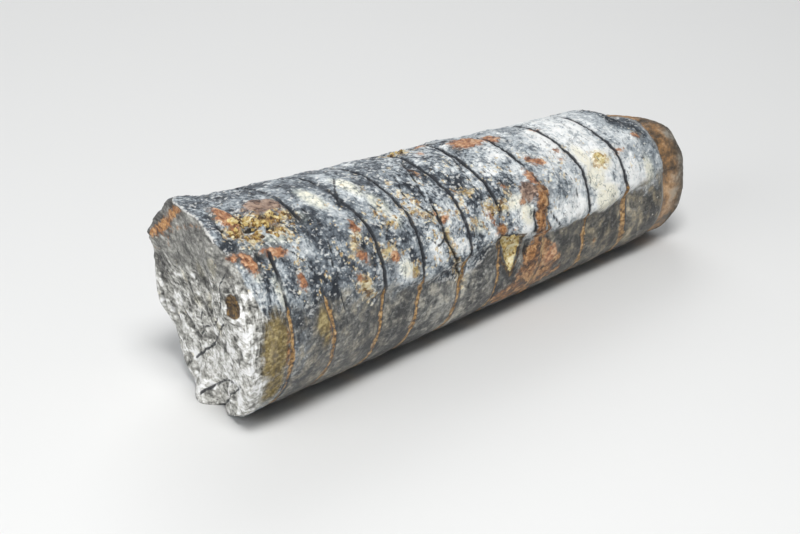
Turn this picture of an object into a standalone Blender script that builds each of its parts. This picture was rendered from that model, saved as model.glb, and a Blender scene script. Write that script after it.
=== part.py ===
"""Orthoceras fossil: one solid stone, the chambered inner mould of a straight shell.

The cone lies along X on a worn flat strip of its underside. Its wide, broken end points to -X and
its small, domed end to +X. Stations are millimetres along the cone from the first suture; angles
are degrees around it, 0 at the front (-Y) and 90 at the top (+Z).
"""
import math

import bmesh
import bpy
from mathutils import Vector, noise

MM = 0.001

# Cone
NEAR_RADIUS = 18.0        # radius at station 0
TAPER = 0.0458            # radius lost for each millimetre of station
FACETS = 56               # sides of every ring
REST_DEPTH = 0.6          # how much of the underside is worn away to a flat strip

# Sutures: the grooves where the chamber walls met the shell
SUTURES = (-0.8, 9.4, 21.8, 31.8, 44.6, 53.8, 65.9, 79.2, 91.0, 103.2)
GROOVE_DEPTH = 0.6
GROOVE_HALF_WIDTH = 0.8
CHAMBER_SWELL = 0.16      # how far a chamber bulges between two grooves

# Ledge along the front: the stone below it is worn back. (degrees above the ledge, height)
LEDGE_PROFILE = (
    (-86, 0.0), (-58, 0.1), (-46, 0.1), (-28, -0.4), (-13, -0.9), (-3, -0.75), (6, 0.45),
    (34, 0.75), (56, 0.1), (76, 0.0),
)
LEDGE_ANGLE = ((-5, 13), (9, 13), (22, 5), (32, 1), (43, 4), (52, 9), (70, 2), (84, 4), (95, 11), (104, 16))
LEDGE_START = (8.0, 24.0)     # stations between which the ledge grows to its full height
LEDGE_END = (88.0, 106.0)     # stations between which it fades
LEDGE_END_SHARE = 0.35        # what is left of it there

# Broken end: (angle, station) of the break's edge, round the cone
BREAK_EDGE = (
    (-60, -4.6), (-33, -7.4), (-5, -9.4), (28, -10.8), (56, -9.2), (83, -7.4), (97, -6.4),
    (107, -4.2), (125, -2.8), (142, -1.6), (170, 2.2), (192, 2.6), (212, 4.2), (240, 1.8),
    (262, -2.2), (275, -0.6), (287, -2.8),
)
BREAK_MIDDLE = -4.0       # station of the break's plane on the cone's axis
BREAK_LEAN_SIDE = 0.35    # how far that plane runs along the cone for each millimetre towards the back
BREAK_LEAN_UP = -0.16     # and for each millimetre upwards
BREAK_HOLLOW = 1.2        # how far the middle of the break lies behind the plane
BREAK_ROUGHNESS = 0.8
BREAK_RINGS = 7
EDGE_SPACING = 0.45       # least distance between two rings beside the break
EDGE_CRUMBLE = 0.55       # how much the outer edge of the break is rounded off

# Domed end: the last chamber wall, a short band and a low dome
BAND_LENGTH = 4.6
BAND_STEP = 0.45          # the band is this much narrower than the body
DOME_HEIGHT = 7.0
DOME_RINGS = 7
DOME_POWER = 2.5          # 2 is an ellipse; more is squarer

# Scars and lumps: (station, angle, half length, half angle, height)
LUMPS = (
    (100.8, 96.0, 3.4, 44.0, -1.2),      # flake lost from the top beside the domed end
    (106.0, 98.0, 8.0, 58.0, -2.7),      # the same flake's scar on the last chamber wall
    (64.6, 27.0, 2.6, 11.0, 0.9),        # rusty crust standing proud of the side
    (57.0, -3.0, 2.2, 12.0, -0.7),       # crystal pocket
    (-1.0, 66.0, 7.0, 17.0, -0.6),       # pitted hollow near the break
    (-5.0, 107.0, 9.0, 20.0, 1.1),       # proud corner at the top of the break
    (57.5, 100.0, 9.0, 22.0, 0.45),      # low swelling on top
    (-2.0, 276.0, 3.0, 7.0, -1.3),       # notch at the foot of the break
)
UNEVENNESS = 0.3          # wandering of the surface
UNEVEN_SIZE = 9.0         # width of one swell or hollow of that wandering
WORN_SPREAD = 26.0        # degrees each side of the underside over which the grooves are worn away

STONE_COLOUR = (0.42, 0.42, 0.41, 1.0)
STONE_ROUGHNESS = 0.62


def clear_scene():
    for item in list(bpy.data.objects):
        bpy.data.objects.remove(item, do_unlink=True)


def radius_at(station):
    return NEAR_RADIUS - TAPER * station


def angle_between(first, second):
    """Signed difference of two angles, within half a turn."""
    return (first - second + 180.0) % 360.0 - 180.0


def hump(offset):
    """Smooth bell: 1 in the middle, 0 from an offset of 1 outwards."""
    return (1.0 - offset * offset) ** 2 if abs(offset) < 1.0 else 0.0


def eased(points, place):
    """Value at a place, eased from each listed (place, value) to the next and held beyond them."""
    if place <= points[0][0]:
        return points[0][1]
    for (low, before), (high, after) in zip(points, points[1:]):
        if place <= high:
            share = (place - low) / (high - low)
            return before + (after - before) * (1.0 - math.cos(math.pi * share)) / 2.0
    return points[-1][1]


def break_station(angle):
    """Station of the broken edge at an angle."""
    first_angle, first_station = BREAK_EDGE[0]
    closed = (*BREAK_EDGE, (first_angle + 360, first_station))
    return eased(closed, (angle - first_angle) % 360.0 + first_angle)


def ledge(station, angle):
    """Height that the ledge along the front adds, in millimetres."""
    above = angle_between(angle, eased(LEDGE_ANGLE, station))
    strength = eased(((LEDGE_START[0], 0.0), (LEDGE_START[1], 1.0)), station)
    strength *= eased(((LEDGE_END[0], 1.0), (LEDGE_END[1], LEDGE_END_SHARE)), station)
    return strength * eased(LEDGE_PROFILE, above)


def relief(station, angle):
    """Height of the stone above the plain cone, in millimetres."""
    nearest = min(abs(station - suture) for suture in SUTURES)
    groove = GROOVE_DEPTH * hump(nearest / GROOVE_HALF_WIDTH)
    groove *= 1.0 - hump(angle_between(angle, 270.0) / WORN_SPREAD)
    height = CHAMBER_SWELL * min(nearest / 5.0, 1.0) - groove + ledge(station, angle)
    for place, direction, half_length, half_angle, rise in LUMPS:
        across = math.hypot((station - place) / half_length, angle_between(angle, direction) / half_angle)
        height += rise * hump(across)
    turn = math.radians(angle)
    probe = Vector((station, NEAR_RADIUS * math.cos(turn), NEAR_RADIUS * math.sin(turn)))
    return height + UNEVENNESS * noise.noise(probe / UNEVEN_SIZE)


def on_cone(station, angle, share=1.0, drop=0.0):
    """Point at a share of the radius; the lowest part is worn flat at z = 0."""
    turn = math.radians(angle)
    radius = (radius_at(station) + relief(station, angle) - drop) * share
    height = radius_at(station) - REST_DEPTH + radius * math.sin(turn)
    return Vector((station, -radius * math.cos(turn), max(height, 0.0))) * MM


def body_stations():
    """Stations of the plain rings: both lips and the bottom of every groove, and the chambers."""
    stations = []
    for suture, following in zip(SUTURES, SUTURES[1:]):
        stations += [suture - GROOVE_HALF_WIDTH, suture, suture + GROOVE_HALF_WIDTH]
        stations += [suture + (following - suture) * share for share in (0.36, 0.68)]
    return [SUTURES[0] - 4.6, *stations, SUTURES[-1] - GROOVE_HALF_WIDTH, SUTURES[-1]]


def break_rings(angles):
    """Rings of the broken face, from near its middle out to its edge."""
    rings = []
    for index in range(1, BREAK_RINGS + 1):
        share = index / BREAK_RINGS
        ring = []
        for angle in angles:
            edge = break_station(angle)
            place = on_cone(edge, angle, share, EDGE_CRUMBLE)
            side, up = place.y / MM, place.z / MM - NEAR_RADIUS
            station = BREAK_MIDDLE + BREAK_LEAN_SIDE * side + BREAK_LEAN_UP * up
            station += BREAK_HOLLOW * (1.0 - share ** 2)
            station += BREAK_ROUGHNESS * noise.noise(Vector((side / 5.0, up / 5.0, 3.0)))
            station += (edge - station) * share ** 4
            ring.append(Vector((station * MM, place.y, place.z)))
        rings.append(ring)
    return rings


def body_rings(angles):
    """Rings along the cone. Beside the break they close up, so that none crosses its edge."""
    rings = []
    for index, station in enumerate(body_stations()):
        ring = []
        for angle in angles:
            least = break_station(angle) + EDGE_SPACING * (index + 1)
            ring.append(on_cone(max(station, least), angle))
        rings.append(ring)
    return rings


def dome_rings(angles):
    """Rings of the last chamber wall: its band, then its dome towards the tip."""
    foot = SUTURES[-1] + BAND_LENGTH
    rings = [[on_cone(station, angle, 1.0, BAND_STEP) for angle in angles]
             for station in (SUTURES[-1] + GROOVE_HALF_WIDTH, foot)]
    for index in range(DOME_RINGS):
        rise = math.sin(math.pi / 2.0 * (index + 0.7) / (DOME_RINGS + 0.4))
        share = (1.0 - rise ** DOME_POWER) ** (1.0 / DOME_POWER)
        ring = [on_cone(foot, angle, share, BAND_STEP) for angle in angles]
        for place in ring:
            place.x += DOME_HEIGHT * rise * MM
        rings.append(ring)
    return rings


def skin(mesh, rings):
    """Extrude a ring of edges from one ring of points to the next, then close both ends."""
    start = bmesh.ops.create_circle(mesh, cap_ends=False, radius=MM, segments=FACETS)["verts"]
    for vert, place in zip(start, rings[0]):
        vert.co = place
    loop = list(start)
    first = loop
    for ring in rings[1:]:
        edges = [mesh.edges.get((vert, loop[index - 1])) for index, vert in enumerate(loop)]
        made = bmesh.ops.extrude_edge_only(mesh, edges=edges)["geom"]
        fresh = {item for item in made if isinstance(item, bmesh.types.BMVert)}
        loop = [next(edge.other_vert(vert) for edge in vert.link_edges if edge.other_vert(vert) in fresh)
                for vert in loop]
        for vert, place in zip(loop, ring):
            vert.co = place
    for end in (first, loop):
        face = mesh.faces.new(end)
        bmesh.ops.poke(mesh, faces=[face])


def stone_material():
    material = bpy.data.materials.new("fossil_stone")
    material.use_nodes = True
    shader = material.node_tree.nodes["Principled BSDF"]
    shader.inputs["Base Color"].default_value = STONE_COLOUR
    shader.inputs["Roughness"].default_value = STONE_ROUGHNESS
    shader.inputs["Metallic"].default_value = 0.0
    return material


def centre_on_origin(mesh):
    """Put the middle of the bounding box's foot on the origin."""
    low = [min(vert.co[axis] for vert in mesh.verts) for axis in range(3)]
    high = [max(vert.co[axis] for vert in mesh.verts) for axis in range(3)]
    shift = Vector((-(low[0] + high[0]) / 2.0, -(low[1] + high[1]) / 2.0, -low[2]))
    bmesh.ops.translate(mesh, vec=shift, verts=mesh.verts[:])


def build_fossil():
    angles = [360.0 * index / FACETS for index in range(FACETS)]
    mesh = bmesh.new()
    skin(mesh, break_rings(angles) + body_rings(angles) + dome_rings(angles))
    centre_on_origin(mesh)
    bmesh.ops.triangulate(mesh, faces=mesh.faces[:])
    bmesh.ops.recalc_face_normals(mesh, faces=mesh.faces[:])
    data = bpy.data.meshes.new("orthoceras_fossil")
    mesh.to_mesh(data)
    mesh.free()
    data.materials.append(stone_material())
    fossil = bpy.data.objects.new("orthoceras_fossil", data)
    bpy.context.scene.collection.objects.link(fossil)
    return fossil


clear_scene()
build_fossil()
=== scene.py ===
"""An orthoceras fossil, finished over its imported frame.

The stone is one sculpted mesh that stands for the frame's solid. Small crystals sit in its pockets.
Stations are millimetres along the cone from the first suture, and angles are degrees round it, 0 at
the front and 90 at the top, as in the frame's own construction.
"""

from __future__ import annotations

import logging
import math
from dataclasses import dataclass, field
from enum import Enum

import bmesh
import bpy
import numpy as np
from mathutils import Euler, Matrix, Vector


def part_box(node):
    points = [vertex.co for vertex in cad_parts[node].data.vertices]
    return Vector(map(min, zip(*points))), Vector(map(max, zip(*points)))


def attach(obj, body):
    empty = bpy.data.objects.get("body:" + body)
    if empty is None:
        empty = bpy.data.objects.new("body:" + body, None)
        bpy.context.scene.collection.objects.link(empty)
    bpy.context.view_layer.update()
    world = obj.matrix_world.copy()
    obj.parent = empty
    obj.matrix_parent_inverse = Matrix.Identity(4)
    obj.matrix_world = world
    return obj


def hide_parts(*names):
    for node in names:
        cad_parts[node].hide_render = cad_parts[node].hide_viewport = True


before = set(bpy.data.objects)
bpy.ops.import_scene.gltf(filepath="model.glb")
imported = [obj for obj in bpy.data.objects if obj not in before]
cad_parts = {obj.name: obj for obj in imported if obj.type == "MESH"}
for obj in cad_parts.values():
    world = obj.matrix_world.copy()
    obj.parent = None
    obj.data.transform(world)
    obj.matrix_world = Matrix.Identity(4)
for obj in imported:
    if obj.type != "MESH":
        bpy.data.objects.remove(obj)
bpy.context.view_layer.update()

LOG = logging.getLogger("fossil")
MM = 0.001
BODY = "root"
STONE_NODE = "orthoceras_fossil"
DEGREE = 0.31      # millimetres round the stone for each degree, about

Points = tuple[tuple[float, float], ...]
Colour = tuple[float, float, float]
Stops = tuple[tuple[float, Colour], ...]


# ---------------------------------------------------------------------------------------------
# Measures shared by the pieces
# ---------------------------------------------------------------------------------------------


def eased(points: Points, places: np.ndarray) -> np.ndarray:
    """Read values off a list of points, easing from each point to the next.

    Args:
        points: (place, value) pairs in rising order of place.
        places: where to read.

    Returns:
        The value at each place; the end values hold beyond the ends.
    """
    marks = np.array(points, float)
    index = np.clip(np.searchsorted(marks[:, 0], places, side="right") - 1, 0, len(marks) - 2)
    low, high = marks[index], marks[index + 1]
    share = np.clip((places - low[..., 0]) / (high[..., 0] - low[..., 0]), 0.0, 1.0)
    return low[..., 1] + (high[..., 1] - low[..., 1]) * (1.0 - np.cos(np.pi * share)) / 2.0


def turned(first: np.ndarray | float, second: np.ndarray | float) -> np.ndarray:
    """Signed difference of two angles in degrees, within half a turn."""
    return (np.asarray(first) - second + 180.0) % 360.0 - 180.0


def hump(offset: np.ndarray) -> np.ndarray:
    """Smooth bell: 1 at an offset of 0, and 0 from 1 outwards."""
    return np.where(np.abs(offset) < 1.0, (1.0 - np.minimum(np.abs(offset), 1.0) ** 2) ** 2, 0.0)


def rise(low: float, high: float, value: np.ndarray) -> np.ndarray:
    """Smooth step from 0 at low to 1 at high."""
    share = np.clip((value - low) / (high - low), 0.0, 1.0)
    return share * share * (3.0 - 2.0 * share)


class RockNoise:
    """Solid noise for sculpting, the same on every run."""

    def __init__(self, seed: int) -> None:
        """Shuffle the lattice.

        Args:
            seed: picks the pattern.
        """
        random = np.random.default_rng(seed)
        self.order = np.tile(random.permutation(256), 3)
        slopes = random.normal(size=(256, 3))
        self.slopes = slopes / np.linalg.norm(slopes, axis=1)[:, None]
        self.jitter = random.random((256, 3))

    def _corner(self, cell: np.ndarray) -> np.ndarray:
        """Lattice entry of each cell corner."""
        wrapped = cell & 255
        return self.order[self.order[self.order[wrapped[:, 0]] + wrapped[:, 1]] + wrapped[:, 2]]

    def smooth(self, points: np.ndarray, size: float) -> np.ndarray:
        """Gradient noise, about -1 to 1.

        Args:
            points: places in millimetres, one row each.
            size: width of a swell in millimetres.

        Returns:
            One value for each place.
        """
        scaled = points / size
        cell = np.floor(scaled).astype(int)
        inside = scaled - cell
        fade = inside ** 3 * (inside * (inside * 6.0 - 15.0) + 10.0)
        total = np.zeros(len(points))
        for corner in np.ndindex(2, 2, 2):
            step = np.array(corner)
            slope = self.slopes[self._corner(cell + step)]
            weight = np.prod(np.where(step == 1, fade, 1.0 - fade), axis=1)
            total += weight * np.sum(slope * (inside - step), axis=1)
        return total * 1.6

    def layered(self, points: np.ndarray, size: float, layers: int, keep: float = 0.5) -> np.ndarray:
        """Sum of ever finer layers of noise.

        Args:
            points: places in millimetres.
            size: width of the coarsest swell.
            layers: how many layers, each half as wide as the one before.
            keep: strength of each layer beside the one before.

        Returns:
            One value for each place, about -1 to 1.
        """
        total = np.zeros(len(points))
        strength, whole = 1.0, 0.0
        for layer in range(layers):
            total += strength * self.smooth(points + 17.3 * layer, size / 2.0 ** layer)
            whole += strength
            strength *= keep
        return total / whole ** 0.7

    def cells(self, points: np.ndarray, size: float) -> tuple[np.ndarray, np.ndarray, np.ndarray]:
        """Irregular cells, as of crystals grown together.

        Args:
            points: places in millimetres.
            size: width of a cell.

        Returns:
            Distance to the nearest cell's heart, how much further the next one is, and a number
            from 0 to 1 that is the same all over a cell.
        """
        scaled = points / size
        cell = np.floor(scaled).astype(int)
        nearest = np.full(len(points), 9.0)
        second = np.full(len(points), 9.0)
        owner = np.zeros(len(points))
        for corner in np.ndindex(3, 3, 3):
            other = cell + np.array(corner) - 1
            entry = self._corner(other)
            gap = np.linalg.norm(other + self.jitter[entry] - scaled, axis=1)
            closer = gap < nearest
            second = np.where(closer, nearest, np.minimum(second, gap))
            owner = np.where(closer, entry / 255.0, owner)
            nearest = np.where(closer, gap, nearest)
        return nearest * size, (second - nearest) * size, owner


@dataclass(frozen=True)
class Suture:
    """Line where a chamber wall met the shell.

    Attributes:
        station: where the line runs.
        bends: (angle, shift) pairs that lead it off that station.
    """

    station: float
    bends: Points = ((-180, 0), (180, 0))


@dataclass(frozen=True)
class Lump:
    """Smooth swelling or scar on the cone, as in the frame's solid."""

    station: float
    angle: float
    half_length: float
    half_angle: float
    height: float


@dataclass(frozen=True)
class ConeForm:
    """Plain shape of the fossil, as in the frame's solid. Lengths are in millimetres."""

    first_suture_x: float = -51.97
    axis_y: float = 0.31
    near_radius: float = 18.0
    taper: float = 0.0458
    rest_depth: float = 0.6
    band_length: float = 4.6
    band_step: float = 0.45
    dome_height: float = 7.0
    dome_power: float = 2.5
    break_middle: float = -4.0
    break_lean_side: float = 0.35
    break_lean_up: float = -0.16
    break_hollow: float = 1.2
    break_edge: Points = (
        (-60, -4.6), (-33, -7.4), (-5, -9.4), (28, -10.8), (56, -9.2), (83, -7.4), (97, -6.4),
        (107, -4.2), (125, -2.8), (142, -1.6), (170, 2.2), (192, 2.6), (212, 4.2), (240, 1.8),
        (262, -2.2), (275, -0.6), (287, -2.8), (300, -4.6),
    )
    ledge_profile: Points = (
        (-86, 0.0), (-58, 0.1), (-46, 0.1), (-28, -0.4), (-13, -0.9), (-3, -0.75), (6, 0.45),
        (34, 0.75), (56, 0.1), (76, 0.0),
    )
    ledge_grows: Points = ((8, 0.0), (24, 1.0))
    ledge_fades: Points = ((88, 1.0), (106, 0.35))
    chamber_swell: float = 0.16
    ledge_angle: Points = (
        (-5, 13), (9, 13), (22, 5), (32, 1), (43, 4), (52, 9), (70, 2), (84, 4), (95, 11), (104, 16),
    )
    sutures: tuple[Suture, ...] = (
        Suture(-0.8, ((-60, 1.6), (-38, 1.0), (-14, 0.2), (20, -0.4), (45, 0.3), (90, 0.0), (180, 0.0))),
        Suture(9.4, ((-60, 0.2), (-32, 0.8), (-12, 0.2), (14, -1.8), (34, -1.0), (58, 0.9), (92, 1.2),
                     (180, 0.3))),
        Suture(21.8, ((-60, -0.2), (-20, 0.1), (10, 0.2), (40, 0.5), (75, -0.6), (180, 0.2))),
        Suture(31.8, ((-50, -0.6), (-10, -0.2), (20, 0.2), (46, 0.4), (80, 0.0), (97, -0.4), (180, 0.3))),
        Suture(44.6, ((-50, -2.4), (-12, -1.9), (0, -1.0), (14, 0.0), (43, 0.0), (80, -0.3), (180, -0.4))),
        Suture(53.8, ((-50, 0.1), (-12, -0.3), (25, 0.4), (60, 0.2), (90, 0.3), (180, -0.3))),
        Suture(65.9, ((-50, -1.2), (-12, 0.0), (10, 0.2), (50, 0.3), (90, 0.2), (180, 0.4))),
        Suture(79.2, ((-40, 0.2), (-12, -0.4), (12, 0.0), (40, 0.2), (90, -0.4), (180, 0.2))),
        Suture(91.0, ((-56, 1.2), (-32, 0.6), (-8, -0.1), (34, 0.2), (70, -0.6), (180, 0.0))),
        Suture(103.2),
    )
    lumps: tuple[Lump, ...] = (
        Lump(100.8, 96.0, 3.4, 44.0, -1.2),
        Lump(106.0, 98.0, 8.0, 58.0, -2.7),
        Lump(64.6, 27.0, 2.6, 11.0, 0.9),
        Lump(57.0, -3.0, 2.2, 12.0, -0.7),
        Lump(-1.0, 66.0, 7.0, 17.0, -0.6),
        Lump(-5.0, 107.0, 9.0, 20.0, 1.1),
        Lump(57.5, 100.0, 9.0, 22.0, 0.45),
        Lump(-2.0, 276.0, 3.0, 7.0, -1.3),
    )

    def radius(self, station: np.ndarray | float) -> np.ndarray | float:
        """Radius of the plain cone."""
        return self.near_radius - self.taper * station

    def degree(self, station: float) -> float:
        """Millimetres round the cone for each degree."""
        return self.radius(station) * math.pi / 180.0

    def edge(self, angle: np.ndarray) -> np.ndarray:
        """Station of the broken end's edge."""
        return eased(self.break_edge, (angle + 60.0) % 360.0 - 60.0)

    def above_ledge(self, station: np.ndarray, angle: np.ndarray) -> np.ndarray:
        """Degrees above the ledge that runs along the front."""
        return turned(angle, eased(self.ledge_angle, station))

    def swell(self, station: np.ndarray, angle: np.ndarray) -> np.ndarray:
        """Height of the solid's own large features over the plain cone.

        Args:
            station: millimetres along the cone.
            angle: degrees round it.

        Returns:
            Heights in millimetres.
        """
        grown = eased(self.ledge_grows, station) * eased(self.ledge_fades, station)
        height = grown * eased(self.ledge_profile, self.above_ledge(station, angle))
        for lump in self.lumps:
            along = (station - lump.station) / lump.half_length
            height += lump.height * hump(np.hypot(along, turned(angle, lump.angle) / lump.half_angle))
        return height

    def wander(self, station: np.ndarray, angle: np.ndarray) -> np.ndarray:
        """How far the lines round the cone stray along it, eased from suture to suture.

        Args:
            station: millimetres along the cone.
            angle: degrees round it.

        Returns:
            Shifts in millimetres.
        """
        around = turned(angle, 0.0)
        shifts = []
        for suture in self.sutures:
            bends = suture.bends
            closed = ((-180, bends[-1][1]), *[bend for bend in bends if bend[0] > -180])
            shifts.append(eased(closed, around))
        stops = np.array([suture.station for suture in self.sutures])
        index = np.clip(np.searchsorted(stops, station, side="right") - 1, 0, len(stops) - 2)
        share = np.clip((station - stops[index]) / (stops[index + 1] - stops[index]), 0.0, 1.0)
        table = np.array(shifts)
        column = np.arange(len(station))
        return table[index, column] * (1.0 - share) + table[index + 1, column] * share

    def place(self, station: np.ndarray, angle: np.ndarray, share: np.ndarray, drop: float) -> np.ndarray:
        """Points of the solid's smooth surface in millimetres, in the frame's own axes.

        Args:
            station: millimetres along the cone.
            angle: degrees round it.
            share: share of the radius, 1 on the outside.
            drop: how far below the outside the points lie.

        Returns:
            One row of x, y and z for each point.
        """
        turn = np.radians(angle)
        reach = (self.radius(station) + self.swell(station, angle) - drop) * share
        height = self.radius(station) - self.rest_depth + reach * np.sin(turn)
        return np.column_stack((
            station + self.first_suture_x,
            self.axis_y - reach * np.cos(turn),
            np.maximum(height, 0.0),
        ))


# ---------------------------------------------------------------------------------------------
# Stains, crystals and cracks
# ---------------------------------------------------------------------------------------------


class Stain(Enum):
    """What a mark on the stone is made of, or the painted shade in a pit; the value names its mask on the
    mesh.
    """

    SALMON = "salmon"
    RUST = "rust"
    OCHRE = "ochre"
    CREAM = "cream"
    CHALK = "chalk"
    SLATE = "slate"
    AMBER = "amber"
    HONEY = "honey"
    ORANGE = "orange"
    UMBER = "umber"
    DUSKY = "dusky"
    # painted shade: near-black paint standing for the shade inside a pit
    PAINTED_HOLE_SHADE = "painted_hole_shade"


@dataclass(frozen=True)
class Mark:
    """A patch of other stuff in the stone.

    Attributes:
        stain: what it is.
        station: where its middle lies along the cone.
        angle: where its middle lies round it.
        half_length: half its size along the cone, in millimetres.
        half_width: half its size round the cone, in millimetres.
        proud: how far it stands out of the stone.
        turn: degrees that its length is turned from the cone's.
    """

    stain: Stain
    station: float
    angle: float
    half_length: float
    half_width: float
    proud: float
    turn: float = 0.0


@dataclass(frozen=True)
class Streak:
    """A mark drawn out along a line of (station, angle) points."""

    stain: Stain
    path: Points
    half_width: float
    proud: float


@dataclass(frozen=True)
class Seam:
    """A crack along a line of (station, angle) points."""

    path: Points
    width: float
    depth: float


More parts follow.
